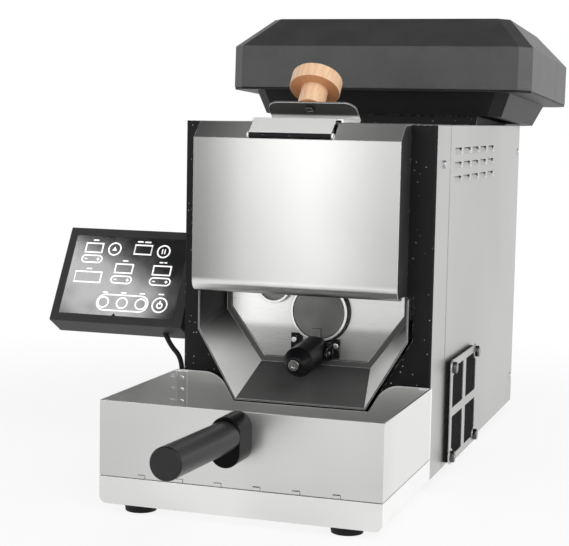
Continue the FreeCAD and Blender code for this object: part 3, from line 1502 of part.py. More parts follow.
def tub_section(inset, low):
    """Corners of the tub in plan at its floor (low) or under its flange."""
    if low:
        half, y0 = TUB_FLOOR_W / 2, HOOD_Y + 2 * TUB_IN
        y1 = TUB_FLOOR_BACK
    else:
        half, y0 = TUB_W / 2, HOOD_Y + TUB_IN
        y1 = HOOD_Y + HOOD_D - TUB_IN
    return octagon(half - inset, y0 + inset, y1 - inset, HOOD_CORNER - inset * INNER_SHARE)


def tub_solid(inset, low, high):
    return plan_loft([(tub_section(inset, True), low), (tub_section(inset, False), high)])


def hood_tub():
    outline = hood_outline(TUB_LIP_IN)
    lip = plan_loft([(outline, HOOD_Z - TUB_T), (outline, HOOD_Z)])
    tub = one([tub_solid(0, TUB_FLOOR_Z, HOOD_Z), lip])
    tub = tub.cut(tub_solid(TUB_T, TUB_FLOOR_Z + TUB_T, HOOD_Z + 1))
    half = screen_half() - SCREEN_LAP
    y0, y1 = screen_ends()
    window = block(-half, half, y0 + SCREEN_LAP, y1 - SCREEN_LAP, TUB_FLOOR_Z - 1, TUB_FLOOR_Z + TUB_T + 1)
    return pitched(tub.cut(window))


def screen_half():
    return COLLAR_W / 2 - SCREEN_SIDE


def screen_ends():
    return COLLAR_Y0 + SCREEN_FRONT, EXHAUST_Y1 + SCREEN_REAR


def chaff_screen():
    z0 = TUB_FLOOR_Z + TUB_T
    y0, y1 = screen_ends()
    plate = block(-screen_half(), screen_half(), y0, y1, z0, z0 + SCREEN_T)
    holes = []
    for col in range(SCREEN_COLS):
        for row in range(SCREEN_ROWS):
            x = (col - (SCREEN_COLS - 1) / 2) * SCREEN_PITCH
            y = y0 + SCREEN_FIRST + row * SCREEN_PITCH
            holes.append(rod(x, y, z0 - 1, SCREEN_HOLE_R, SCREEN_T + 2, Z_AXIS))
    return pitched(plate.cut(many(holes)))


def hood_collar():
    """The dark neck between the top plate and the tilted tub."""
    half = COLLAR_W / 2
    outer = block(-half, half, COLLAR_Y0, COLLAR_Y1, TOP, HOOD_Z)
    inner = block(-half + COLLAR_T, half - COLLAR_T, COLLAR_Y0 + COLLAR_T, COLLAR_Y1 - COLLAR_T,
                  TOP - 1, HOOD_Z + 1)
    above = block(-HOOD_W, HOOD_W, 0, 2 * BODY_D, TUB_FLOOR_Z, HOOD_Z + HOOD_RIM + HOOD_BEVEL)
    return outer.cut(inner).cut(pitched(above))


def exhaust_motor():
    body = rod(0, BLOWER_Y, BLOWER_Z, BLOWER_MOTOR_R, BLOWER_MOTOR_H, Z_AXIS)
    boss = rod(0, BLOWER_Y, BLOWER_Z + BLOWER_MOTOR_H, BLOWER_BOSS_R, BLOWER_BOSS_H, Z_AXIS)
    bore_r = BLOWER_SHAFT_R + BEARING_CLEAR
    bore = rod(0, BLOWER_Y, BLOWER_Z + BLOWER_BORE_UP, bore_r, BLOWER_MOTOR_H, Z_AXIS)
    return pitched(one([body, boss]).cut(bore))


def exhaust_impeller():
    low = BLOWER_Z + BLOWER_MOTOR_H + BLOWER_BOSS_H + BLOWER_GAP
    disc = rod(0, BLOWER_Y, low, BLOWER_R, BLOWER_DISC_T, Z_AXIS)
    hub = rod(0, BLOWER_Y, low, BLOWER_HUB_R, BLOWER_H, Z_AXIS)
    shaft_z = BLOWER_Z + BLOWER_BORE_UP + 1
    shaft = rod(0, BLOWER_Y, shaft_z, BLOWER_SHAFT_R, low + 1 - shaft_z, Z_AXIS)
    space = rod(0, BLOWER_Y, low, BLOWER_R, BLOWER_H, Z_AXIS)
    half = BLOWER_DISC_T / 2
    blades = []
    for index in range(BLOWER_BLADES):
        blade = block(BLOWER_BLADE_IN, BLOWER_R, BLOWER_Y - half, BLOWER_Y + half, low, low + BLOWER_H)
        blade = turned(blade, Vector(BLOWER_BLADE_IN, BLOWER_Y, 0), Z_AXIS, BLOWER_BLADE_TURN)
        blade = turned(blade, Vector(0, BLOWER_Y, 0), Z_AXIS, index * 360 / BLOWER_BLADES)
        blades.append(blade.common(space))
    return pitched(one([disc, hub, shaft] + blades))


# ---- control box ----
def tilted(shape):
    return turned(shape, Vector(0, 0, BOX_Z), X_AXIS, -BOX_TILT)


BOX_X1 = -HALF - BOX_MOUNT_T
BOX_X0 = BOX_X1 - BOX_W


def glass_edges():
    low, high = BOX_Z + GLASS_MARGIN, BOX_Z + BOX_H - GLASS_MARGIN
    return BOX_X0 + GLASS_MARGIN, BOX_X1 - GLASS_RIGHT, low, high


def control_case():
    """The box, open in front under the glass, with the flange that holds it to the body's side."""
    case = block(BOX_X0, BOX_X1, 0, BOX_T, BOX_Z, BOX_Z + BOX_H)
    case = case.makeFillet(BOX_EDGE, case.Edges)
    x0, x1, z0, z1 = glass_edges()
    seat = block(x0, x1, -1, GLASS_T, z0, z1)
    cavity = block(x0 + BOX_WALL, x1 - BOX_WALL, 0, BOX_T - BOX_WALL, z0 + BOX_WALL, z1 - BOX_WALL)
    flange = block(BOX_X1 - BOX_WALL, -HALF, BOX_MOUNT_T, BOX_T - BOX_MOUNT_T,
                   BOX_Z + BOX_FLANGE_IN, BOX_Z + BOX_H - BOX_FLANGE_IN)
    case = one([case, flange]).cut(seat).cut(cavity)
    return tilted(case).cut(cable_tube(CABLE_R))


def control_glass():
    x0, x1, z0, z1 = glass_edges()
    glass = block(x0, x1, GLASS_SUNK, GLASS_T, z0, z1)
    middle = x0 + GLASS_NOTCH_AT
    half = GLASS_NOTCH_W / 2
    points = [(middle - half, z0), (middle + half, z0), (middle, z0 + GLASS_NOTCH_H)]
    return tilted(glass.cut(front_profile(points, -1, GLASS_T + 1)))


def control_board():
    x0, x1, z0, z1 = glass_edges()
    y1 = BOX_T - BOX_WALL - KEY_BOARD_UP
    edge = KEY_BOARD_IN
    board = block(x0 + edge, x1 - edge, y1 - KEY_BOARD_T, y1, z0 + edge, z1 - edge)
    legs = []
    edge += KEY_BOARD_LEG_IN
    for x in (x0 + edge, x1 - edge):
        for z in (z0 + edge, z1 - edge):
            legs.append(rod(x, y1, z, KEY_BOARD_LEG_R, KEY_BOARD_UP, Y_AXIS))
    return tilted(one([board] + legs))


def cable_y():
    return (BOX_T / 2 + CABLE_BACK) * math.cos(math.radians(BOX_TILT))


def cable_path():
    """Straight runs joined by arcs, in the upright plane behind the box's front."""
    y = cable_y()
    cable_radii.clear()
    points = [Vector(x, y, z) for x, z in CABLE_ROUTE]
    edges = []
    last = points[0]
    for before, corner, after in zip(points, points[1:], points[2:]):
        a, b = before - corner, after - corner
        run = CABLE_BEND * min(a.Length, b.Length)
        enter = corner + a.normalize() * run
        leave = corner + b.normalize() * run
        half = enter.sub(corner).getAngle(leave.sub(corner)) / 2
        radius = run * math.tan(half)
        cable_radii.append(round(radius, 1))
        inward = (enter + leave - corner * 2).normalize()
        middle = corner + inward * (run / math.cos(half) - radius)
        edges.append(Part.LineSegment(last, enter).toShape())
        edges.append(Part.Arc(enter, middle, leave).toShape())
        last = leave
    edges.append(Part.LineSegment(last, points[-1]).toShape())
    return Part.Wire(edges)


def cable_tube(radius):
    path = cable_path()
    start = path.Vertexes[0].Point
    heading = path.Edges[0].tangentAt(path.Edges[0].FirstParameter)
    ring = Part.Wire([Part.makeCircle(radius, start, heading)])
    return path.makePipeShell([ring], True, True)


def control_cable():
    return cable_tube(CABLE_R)


# ---- electrics ----
def inlet_body(grow):
    """The socket's body behind the rear panel, or the clear space it needs."""
    w, h = INLET_W / 2, INLET_H / 2
    y0 = BODY_D - INLET_DEPTH - grow
    return block(INLET_X - w, INLET_X + w, y0, BODY_D, INLET_Z - h, INLET_Z + h)


def power_inlet():
    w, h = INLET_W / 2 + INLET_RIM, INLET_H / 2 + INLET_RIM
    y1 = BODY_D + INLET_RIM_T
    flange = block(INLET_X - w, INLET_X + w, BODY_D, y1, INLET_Z - h, INLET_Z + h)
    w, h = INLET_W / 2 - INLET_WALL, INLET_H / 2 - INLET_WALL
    y0 = BODY_D - SOCKET_DEPTH
    socket = block(INLET_X - w, INLET_X + w, y0, y1 + 1, INLET_Z - h, INLET_Z + h)
    return one([one([inlet_body(0), flange]).cut(socket)] + power_inlet_pins())


def power_inlet_pins():
    y0 = BODY_D - INLET_DEPTH - PIN_TAIL
    pins = []
    w, h = PIN_W / 2, PIN_H / 2
    for dx, dz in PIN_PLACES:
        x, z = INLET_X + dx, INLET_Z + dz
        pins.append(block(x - w, x + w, y0, BODY_D - PIN_IN, z - h, z + h))
    return pins


def board_block(x0, x1, y0, y1, height, z):
    """A part on the supply board, placed by the board's grid."""
    step = BOARD_GRID
    x, y = BOARD_X0, BOARD_Y0
    return block(x + x0 * step, x + x1 * step, y + y0 * step, y + y1 * step, z, z + height * step)


def power_board():
    """The supply board with its larger parts, on four standoffs."""
    z = FLOOR + SHEET
    legs = []
    for x in (BOARD_X0 + BOARD_LEG_IN, BOARD_X1 - BOARD_LEG_IN):
        for y in (BOARD_Y0 + BOARD_LEG_IN, BOARD_Y1 - BOARD_LEG_IN):
            legs.append(rod(x, y, z, BOARD_LEG_R, BOARD_UP, Z_AXIS))
    z += BOARD_UP
    board = block(BOARD_X0, BOARD_X1, BOARD_Y0, BOARD_Y1, z, z + BOARD_T)
    z += BOARD_T
    parts = [board_block(*TRANSFORMER, z), board_block(*HEAT_SINK, z)]
    for column, row in CAPACITORS:
        x, y = BOARD_X0 + column * BOARD_GRID, BOARD_Y0 + row * BOARD_GRID
        parts.append(rod(x, y, z, CAPACITOR_R * BOARD_GRID, CAPACITOR_H * BOARD_GRID, Z_AXIS))
    return one([board] + legs + parts)


# ---- feet and screws ----
def foot_places():
    front = [(x, TRAY_FRONT + FRONT_FEET_IN) for x in FRONT_FEET_X]
    ends = (FOOT_END_IN, BODY_D - FOOT_END_IN)
    body = [(side * (HALF - FOOT_SIDE_IN), y) for side in (-1, 1) for y in ends]
    return front + body


def feet():
    pads = []
    for x, y in foot_places():
        pads.append(Part.makeCone(FOOT_R - FOOT_TAPER, FOOT_R, FOOT_H, Vector(x, y, 0), Z_AXIS))
    return many(pads)


def casing_screws():
    """All the small pan-head screws: casing, discharge bracket and fan."""
    screws = [screw(x, y, z, outward) for x, y, z, outward in strip_screw_points()]
    for x, y, z, outward in rear_screw_points():
        screws.append(screw(x, y, z, outward, head_h=LOW_HEAD_H))
    for x, z in bracket_screw_points():
        screws.append(screw(x, PLATE_Y - BRACKET_T, z, Y_AXIS * -1, head_r=BRACKET_SCREW_R))
    for y, z in fan_hole_points():
        screws.append(rod(HALF - SHEET - FAN_T, y, z, SCREW_R, FAN_T + SHEET, X_AXIS))
    return many(screws)


def model():
    add("base_pan", base_pan())
    add("front_frame", front_frame())
    add("front_housing", front_housing())
    add("side_cover_right", side_cover(1))
    add("side_cover_left", side_cover(-1))
    add("top_plate", top_plate())
    add("rear_panel", rear_panel())
    add("front_cover", front_cover())
    add("front_cover_ends", front_cover_ends())
    add("inlet_lid", inlet_lid())
    add("lid_knob", lid_knob())
    add("lid_knob_screw", lid_knob_screw())
    add("lid_hinge_bar", lid_hinge_bar())
    add("lid_hinge_pin", lid_hinge_pin())
    add("lid_hinge_bracket", lid_hinge_bracket())
    add("inlet_hopper", inlet_hopper())
    add("recess_plate", recess_plate())
    add("sight_glass", sight_glass())
    add("discharge_door", discharge_door())
    add("discharge_lever", discharge_lever())
    add("lever_nose_screw", lever_nose_screw())
    add("discharge_bracket", discharge_bracket())
    add("discharge_pin", discharge_pin())
    add("discharge_chute", discharge_chute())
    add("roasting_drum", roasting_drum())
    add("drum_shaft", drum_shaft())
    add("shaft_coupling", one([shaft_coupling(), motor_shaft()]))
    add("gear_motor", gear_motor())
    add("drum_rear_plate", drum_rear_plate())
    add("exhaust_duct", exhaust_duct())
    add("drum_bearing", drum_bearing())
    add("drum_housing", drum_housing())
    add("heaters", heaters())
    add("bean_probe", bean_probe())
    add("cooling_tray", cooling_tray())
    add("tray_sieve", tray_sieve())
    add("tray_handle_base", tray_handle_base())
    add("tray_handle_grip", tray_handle_grip())
    add("handle_bolts", handle_bolts())
    add("tray_base", tray_base())
    add("cooling_duct", cooling_duct())
    add("cooling_fan_frame", cooling_fan_frame())
    add("cooling_impeller", cooling_impeller())
    add("fan_filter", fan_filter())
    add("fan_guard", fan_guard())
    add("guard_screws", guard_screws())
    add("hood_cap", hood_cap())
    add("hood_tub", hood_tub())
    add("chaff_screen", chaff_screen())
    add("hood_collar", hood_collar())
    add("exhaust_motor", exhaust_motor())
    add("exhaust_impeller", exhaust_impeller())
    add("control_case", control_case())
    add("control_glass", control_glass())
    add("control_board", control_board())
    add("control_cable", control_cable())
    add("power_inlet", power_inlet())
    add("power_board", power_board())
    add("feet", feet())
    add("casing_screws", casing_screws())


def origin_shift():
    """Moves the middle of the whole object's box to X = Y = 0 and its underside to Z = 0."""
    box = FreeCAD.BoundBox()
    for shape in pieces.values():
        box.add(shape.optimalBoundingBox(False, False))
    return Vector(-(box.XMin + box.XMax) / 2, -(box.YMin + box.YMax) / 2, -box.ZMin)


def export():
    os.makedirs("parts", exist_ok=True)
    shift = origin_shift()
    for name, shape in pieces.items():
        moved = shape.copy()
        moved.translate(shift)
        moved.exportStep("parts/" + name + ".step")
    print("shift", round(shift.x, 4), round(shift.y, 4), round(shift.z, 4), "nodes", len(pieces))
    print("cable bend radii", cable_radii)


model()
export()
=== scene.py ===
# %% [markdown]
# A home coffee bean roaster: a steel body with a black front frame, a charcoal chaff hood, a
# wooden lid knob, a tray under a discharge chute and a tilted control box at its side.
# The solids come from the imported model, in metres, with every joint at rest. Loading them first
# means that each new piece can be put where the solid it belongs to says it is.

import math

import bpy
from mathutils import Matrix, Vector


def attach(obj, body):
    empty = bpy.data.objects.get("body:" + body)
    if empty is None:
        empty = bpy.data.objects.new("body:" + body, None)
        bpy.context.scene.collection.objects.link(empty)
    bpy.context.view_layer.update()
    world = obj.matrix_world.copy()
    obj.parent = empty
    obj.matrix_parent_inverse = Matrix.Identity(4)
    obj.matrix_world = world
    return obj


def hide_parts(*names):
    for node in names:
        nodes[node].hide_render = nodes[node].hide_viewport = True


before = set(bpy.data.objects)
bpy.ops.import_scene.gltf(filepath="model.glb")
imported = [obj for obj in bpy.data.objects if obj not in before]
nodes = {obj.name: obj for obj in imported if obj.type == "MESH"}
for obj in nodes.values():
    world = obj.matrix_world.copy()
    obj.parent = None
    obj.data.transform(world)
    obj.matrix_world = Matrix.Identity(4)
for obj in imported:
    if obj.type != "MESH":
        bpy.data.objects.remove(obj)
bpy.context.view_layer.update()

# %% [markdown]
# The pieces were drawn in millimetres from the middle of the body's front face at table height.
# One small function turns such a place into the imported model's metres. Everything that is placed
# later goes through it, so a number here can be compared with a ruler on the real machine.

# %% Places in millimetres
MM = 0.001
BODY_MIDDLE = Vector((0.03975, -0.0715309, 0.0))


def place(x, y, z):
    """A point in millimetres from the body's front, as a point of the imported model."""
    return Vector((x * MM, y * MM, z * MM)) + BODY_MIDDLE


print("middle of the body's front at the table:", tuple(place(0, 0, 0)))

# %% [markdown]
# The camera stands about a metre away, a little to the right and a little above the tray, and
# looks slightly down. A camera can be aimed with a Track To constraint, by Euler angles or by
# its own three directions. The directions are worked out here from the heading, the pitch and a
# very small roll, because then the lens and the aim stay exact and nothing is left to a solver.

# %% Camera
CAMERA_PLACE = Vector((0.36445, -1.10283, 0.2662))
HEADING, PITCH, ROLL = math.radians(18.3), math.radians(6.0), math.radians(1.1)
LENS, SENSOR = 94.19, 36.0
CLIP_NEAR, CLIP_FAR = 0.05, 60.0

look = Vector((-math.sin(HEADING) * math.cos(PITCH), math.cos(HEADING) * math.cos(PITCH),
               -math.sin(PITCH)))
level = Vector((math.cos(HEADING), math.sin(HEADING), 0.0))
upward = level.cross(look)
right = level * math.cos(ROLL) + upward * math.sin(ROLL)
top = upward * math.cos(ROLL) - level * math.sin(ROLL)

lens = bpy.data.cameras.new("View")
lens.lens, lens.sensor_width, lens.sensor_fit = LENS, SENSOR, "HORIZONTAL"
lens.clip_start, lens.clip_end = CLIP_NEAR, CLIP_FAR
view = bpy.data.objects.new("View", lens)
bpy.context.scene.collection.objects.link(view)
view_turn = Matrix((right, top, -look)).transposed().to_4x4()
view.matrix_world = Matrix.Translation(CAMERA_PLACE) @ view_turn
bpy.context.scene.camera = view
bpy.context.scene.view_settings.view_transform = "Standard"
print("camera at", tuple(view.location), "lens", lens.lens)

# %% [markdown]
# A material is a small graph of nodes, and it is easier to read when each step is one short
# line. These helpers add a node, join two sockets, feed a socket with either another socket or a
# plain value, and start a material with its Principled shader. A number or colour that is the
# same all over a surface is set straight on the shader, and only what varies gets a node.

# %% Helpers: nodes and wires


def add(tree, kind, **settings):
    """Adds one shader node and sets its plain settings."""
    made = tree.nodes.new("ShaderNode" + kind)
    for name, value in settings.items():
        setattr(made, name, value)
    return made


def wire(tree, out_socket, in_socket):
    """Joins a node's output to another node's input."""
    tree.links.new(out_socket, in_socket)


def feed(tree, value, in_socket):
    """Gives an input its value: another node's output, a plain number or a plain colour."""
    if isinstance(value, bpy.types.NodeSocket):
        wire(tree, value, in_socket)
    elif in_socket.type == "RGBA":
        in_socket.default_value = (*value, 1.0)
    else:
        in_socket.default_value = value


def start_finish(name, color, roughness, metallic=0.0, specular=0.5):
    """A material with its Principled shader, whose constant values are set on the shader."""
    material = bpy.data.materials.new(name)
    material.use_nodes = True
    tree = material.node_tree
    shader = tree.nodes["Principled BSDF"]
    shader.inputs["Base Color"].default_value = (*color, 1.0)
    shader.inputs["Roughness"].default_value = roughness
    shader.inputs["Metallic"].default_value = metallic
    shader.inputs["Specular IOR Level"].default_value = specular
    return material, tree, shader


print("node helpers ready")

# %% [markdown]
# Most of a finish is made with masks: levels from 0 to 1 that say how much of something is where.
# Masks are multiplied, spread from one span to another, and used to choose between two levels.
# Map Range does the spreading, and its smooth mode hides the start and the end of a change. A Mix
# node has its numbers and its colours in one row of sockets, so they are picked by index: the two
# numbers are 2 and 3, and the two colours are 6 and 7.

# %% Helpers: levels


def work_out(tree, operation, *values):
    """One Math node on one or two values, each a socket or a number."""
    made = add(tree, "Math", operation=operation)
    for value, socket in zip(values, made.inputs):
        feed(tree, value, socket)
    return made.outputs[0]


def times(tree, first, second):
    """Multiplies two levels."""
    return work_out(tree, "MULTIPLY", first, second)


def spread(tree, source, low, high, to_low, to_high, soft=True):
    """Maps a value from one span to another, and keeps it inside the new span."""
    made = add(tree, "MapRange", interpolation_type="SMOOTHSTEP" if soft else "LINEAR")
    for value, socket in zip((source, low, high, to_low, to_high), made.inputs):
        feed(tree, value, socket)
    return made.outputs[0]


def choose_level(tree, mask, outside, inside):
    """One of two levels, each a socket or a number, by a mask from 0 to 1."""
    made = add(tree, "Mix", data_type="FLOAT")
    for value, socket in zip((mask, outside, inside), (made.inputs[0], made.inputs[2], made.inputs[3])):
        feed(tree, value, socket)
    return made.outputs[0]


print("level helpers ready")

# %% [markdown]
# A mask also mixes two colours, and a ramp with several stops draws a level that rises and falls
# along a span. A height goes in through a Bump node, which bends the light but not the mesh.

# %% Helpers: colours, ramps and dents


def blend_colors(tree, mask, outside, inside):
    """Mixes two colours, each a socket or a plain colour, by a mask from 0 to 1."""
    made = add(tree, "Mix", data_type="RGBA", blend_type="MIX")
    for value, socket in zip((mask, outside, inside), (made.inputs[0], made.inputs[6], made.inputs[7])):
        feed(tree, value, socket)
    return made.outputs[2]


def level_ramp(tree, source, low, high, stops, shape="B_SPLINE"):
    """Grey levels along a span: each stop is (place from 0 to 1, level)."""
    made = add(tree, "ValToRGB")
    made.color_ramp.interpolation = shape
    while len(made.color_ramp.elements) < len(stops):
        made.color_ramp.elements.new(0.5)
    for element, (where, level) in zip(made.color_ramp.elements, stops):
        element.position = where
        element.color = (level, level, level, 1.0)
    wire(tree, spread(tree, source, low, high, 0.0, 1.0, soft=False), made.inputs["Fac"])
    return made.outputs["Color"]


def dent(tree, shader, height, depth, normal=None):
    """Feeds a height into the shader's normal through a Bump node."""
    made = add(tree, "Bump")
    made.inputs["Distance"].default_value = depth
    wire(tree, height, made.inputs["Height"])
    if normal is not None:
        wire(tree, normal, made.inputs["Normal"])
    wire(tree, made.outputs[0], shader.inputs["Normal"])


print("colour helpers ready")

# %% [markdown]
# A pattern needs a place to start from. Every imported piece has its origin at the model's origin,
# so a piece's own coordinates are the machine's, in metres, and they travel with it when a joint
# moves. Noise is the pattern that is used most. Its values stay near 0.5 and rarely leave 0.3 to
# 0.7, so that span is the one that is spread over a finish's light and dark.

# %% Helpers: places and noise
NOISE_LOW, NOISE_HIGH = 0.3, 0.7


def own_place(tree):
    """The place on the piece itself, in metres."""
    return add(tree, "TexCoord").outputs["Object"]


def axes_of(tree, vector):
    """The X, Y and Z of a vector, as sockets."""
    made = add(tree, "SeparateXYZ")
    wire(tree, vector, made.inputs[0])
    return made.outputs


def stretched(tree, vector, scale):
    """A place squeezed or drawn out along its three axes."""
    made = add(tree, "Mapping")
    made.inputs["Scale"].default_value = scale
    wire(tree, vector, made.inputs["Vector"])
    return made.outputs[0]


def noise(tree, scale, detail=2.0, at=None):
    """Noise on the piece itself, or at another place; a larger scale gives finer noise."""
    made = add(tree, "TexNoise")
    wire(tree, own_place(tree) if at is None else at, made.inputs["Vector"])
    feed(tree, scale, made.inputs["Scale"])
    made.inputs["Detail"].default_value = detail
    return made.outputs[0]


print("noise is spread from", NOISE_LOW, "to", NOISE_HIGH)

# %% [markdown]
# Some patterns are shared by many finishes. A node group holds such a pattern once, with named
# inputs for what differs. The groups here give only masks, levels and normals, and each material
# keeps its own Principled shader.

# %% Helpers: node groups


def start_group(name, inputs, outputs):
    """A shader node group with named sockets; each input is (name, kind, first value)."""
    group = bpy.data.node_groups.new(name, "ShaderNodeTree")
    for label, kind, value in inputs:
        socket = group.interface.new_socket(name=label, in_out="INPUT", socket_type=kind)
        socket.default_value = value
    for label, kind in outputs:
        group.interface.new_socket(name=label, in_out="OUTPUT", socket_type=kind)
    return group, group.nodes.new("NodeGroupInput"), group.nodes.new("NodeGroupOutput")


def use_group(tree, group, **values):
    """Places a group in a material with its own values."""
    made = tree.nodes.new("ShaderNodeGroup")
    made.node_tree = group
    for label, value in values.items():
        made.inputs[label.replace("_", " ")].default_value = value
    return made


print("group helpers ready")

# %% [markdown]
# Brushed steel carries very fine scratches that run level around the machine, and a slow cloudy change where
# hands and heat have been. Both are noise. Stretching noise along one fixed axis would only suit the faces
# that look one way, so the group picks the two axes by where a face points: the scratches on a front run
# along X, and those on a side run along Y. It also gives a mask of the faces that look sideways, so that a
# finish can paint them brighter as a painted highlight.

# %% Group: steel grain
LOOKS_ALONG = 0.7

steel_grain, grain_in, grain_out = start_group(
    "Steel grain",
    [("Along", "NodeSocketFloat", 12.0), ("Across", "NodeSocketFloat", 1400.0),
     ("Cloud Size", "NodeSocketFloat", 14.0)],
    [("Streak", "NodeSocketFloat"), ("Cloud", "NodeSocketFloat"), ("Sideways", "NodeSocketFloat")])
steel_at = axes_of(steel_grain, own_place(steel_grain))
facing = add(steel_grain, "NewGeometry")
facing_size = add(steel_grain, "VectorMath", operation="ABSOLUTE")
wire(steel_grain, facing.outputs["True Normal"], facing_size.inputs[0])
looks = axes_of(steel_grain, facing_size.outputs[0])

sideways = work_out(steel_grain, "GREATER_THAN", looks["X"], LOOKS_ALONG)
up_or_down = work_out(steel_grain, "GREATER_THAN", looks["Z"], LOOKS_ALONG)
along = choose_level(steel_grain, sideways, steel_at["X"], steel_at["Y"])
across = choose_level(steel_grain, up_or_down, steel_at["Z"], steel_at["Y"])
scratch_at = add(steel_grain, "CombineXYZ")
wire(steel_grain, times(steel_grain, along, grain_in.outputs["Along"]), scratch_at.inputs["X"])
wire(steel_grain, times(steel_grain, across, grain_in.outputs["Across"]), scratch_at.inputs["Y"])

scratches = noise(steel_grain, 1.0, detail=3.0, at=scratch_at.outputs[0])
wire(steel_grain, scratches, grain_out.inputs["Streak"])
wire(steel_grain, noise(steel_grain, grain_in.outputs["Cloud Size"]), grain_out.inputs["Cloud"])
wire(steel_grain, sideways, grain_out.inputs["Sideways"])
print("group:", steel_grain.name)

# %% [markdown]
# No folded sheet or moulded box has a perfectly sharp edge: a radius of a few tenths catches a thin line of
# light. The Bevel shader node rounds the normal near an edge without touching the mesh, which suits solids
# that must stay as they are. Comparing that rounded normal with the true one gives a mask of the edges. The
# finishes use it for a painted highlight along the edges and for pale chips there.

# %% Group: soft edge
EDGE_STARTS, EDGE_FULL = 0.97, 0.80

soft_edge, edge_in, edge_out = start_group(
    "Soft edge", [("Radius", "NodeSocketFloat", 0.5 * MM)],
    [("Normal", "NodeSocketVector"), ("Edge", "NodeSocketFloat")])
rounding = add(soft_edge, "Bevel", samples=6)
wire(soft_edge, edge_in.outputs["Radius"], rounding.inputs["Radius"])
true_normal = add(soft_edge, "NewGeometry")
agreement = add(soft_edge, "VectorMath", operation="DOT_PRODUCT")
wire(soft_edge, rounding.outputs[0], agreement.inputs[0])
wire(soft_edge, true_normal.outputs["Normal"], agreement.inputs[1])
edge_mask = spread(soft_edge, agreement.outputs["Value"], EDGE_STARTS, EDGE_FULL, 0.0, 1.0)
wire(soft_edge, rounding.outputs[0], edge_out.inputs["Normal"])
wire(soft_edge, edge_mask, edge_out.inputs["Edge"])
print("group:", soft_edge.name)

# %% [markdown]
# Powder paint and moulded plastic are both slightly pebbled, paint at about a millimetre and plastic finer.
# Small pale specks of chaff dust and chipped paint show on the dark parts. A Voronoi texture gives separate
# round specks, and a second noise decides where they gather. A painted sheet is chipped most along its
# edges, so a fine noise also gives a mask of small chips, which a finish can limit to its edges; there the
# pale chips also serve as painted glints.

# %% Group: powder coat
MOTTLE_SCALE, CHIP_SCALE = 35.0, 420.0
CHIP_STARTS, CHIP_FULL = 0.50, 0.56

powder_coat, powder_in, powder_out = start_group(
    "Powder coat",
    [("Grain Size", "NodeSocketFloat", 1200.0), ("Speck Size", "NodeSocketFloat", 260.0),
     ("Speck Amount", "NodeSocketFloat", 0.1)],
    [("Grain", "NodeSocketFloat"), ("Speck", "NodeSocketFloat"), ("Mottle", "NodeSocketFloat"),
     ("Chip", "NodeSocketFloat")])
pebbles = noise(powder_coat, powder_in.outputs["Grain Size"], detail=3.0)
dots = add(powder_coat, "TexVoronoi")
wire(powder_coat, own_place(powder_coat), dots.inputs["Vector"])
wire(powder_coat, powder_in.outputs["Speck Size"], dots.inputs["Scale"])
gathering = noise(powder_coat, MOTTLE_SCALE)
speck_size = times(powder_coat, gathering, powder_in.outputs["Speck Amount"])
speck = work_out(powder_coat, "LESS_THAN", dots.outputs["Distance"], speck_size)
chip = spread(powder_coat, noise(powder_coat, CHIP_SCALE), CHIP_STARTS, CHIP_FULL, 0.0, 1.0)
for label, level_there in (("Grain", pebbles), ("Speck", speck), ("Mottle", gathering), ("Chip", chip)):
    wire(powder_coat, level_there, powder_out.inputs[label])
print("group:", powder_coat.name)

# %% [markdown]
# Most of the machine is satin stainless steel. A metal's base colour is the colour of its reflections, so a
# light grey is right, and the roughness decides how blurred they are. One function makes every steel finish
# from the two groups: the scratches shift the colour and the roughness a little and dent the surface by
# microns, the edges get a lighter colour as a painted highlight, and the faces that look sideways can be
# painted brighter as a painted highlight. A finish may bring its own shade function, which paints shade and
# light onto some places before the edge highlights are laid on top.

# %% Steel finish
WARMTH = 0.985
EDGE_HIGHLIGHT = (0.96, 0.96, 0.95)
CLOUD_LOW, CLOUD_HIGH = 0.35, 0.65
STEEL_GLOSS_CHANGE, SCRATCH_DEPTH = 0.01, 0.001 * MM


def grey(level):
    """A steel grey, very slightly warm."""
    return (level, level, level * WARMTH)


def steel_finish(name, dark, light, roughness, along_by=10.0, across_by=1300.0, cloud_size=14.0,
                 edge=0.4 * MM, side_highlight_gain=1.0, shade=None, metallic=1.0, streak=0.012, specular=0.5):
    """Satin steel between two grey levels, with level scratches and a painted highlight on the edges."""
    material, tree, shader = start_finish(name, grey(light), roughness, metallic, specular)
    grain = use_group(tree, steel_grain, Along=along_by, Across=across_by, Cloud_Size=cloud_size)
    rounded = use_group(tree, soft_edge, Radius=edge)
    cloud = spread(tree, grain.outputs["Cloud"], CLOUD_LOW, CLOUD_HIGH, 0.0, 1.0)
    tone = blend_colors(tree, cloud, grey(dark), grey(light))
    fine = spread(tree, grain.outputs["Streak"], NOISE_LOW, NOISE_HIGH, 1.0 - streak, 1.0 + streak,
                  soft=False)
    # Faces that look sideways are painted brighter by this gain, a painted highlight.
    side_light = spread(tree, grain.outputs["Sideways"], 0.0, 1.0, 1.0, side_highlight_gain, soft=False)
    level = times(tree, fine, side_light)
    if shade:
        level = times(tree, level, shade(tree))
    scaled = add(tree, "VectorMath", operation="SCALE")
    wire(tree, tone, scaled.inputs[0])
    wire(tree, level, scaled.inputs["Scale"])
    # A lighter colour along the edges: a painted highlight.
    edged_color = blend_colors(tree, rounded.outputs["Edge"], scaled.outputs[0], EDGE_HIGHLIGHT)
    wire(tree, edged_color, shader.inputs["Base Color"])
    wire(tree, spread(tree, grain.outputs["Streak"], NOISE_LOW, NOISE_HIGH,
                      roughness - STEEL_GLOSS_CHANGE, roughness + STEEL_GLOSS_CHANGE, soft=False),
         shader.inputs["Roughness"])
    dent(tree, shader, grain.outputs["Streak"], SCRATCH_DEPTH, rounded.outputs["Normal"])
    return material


print("steel greys keep", WARMTH, "of their blue")

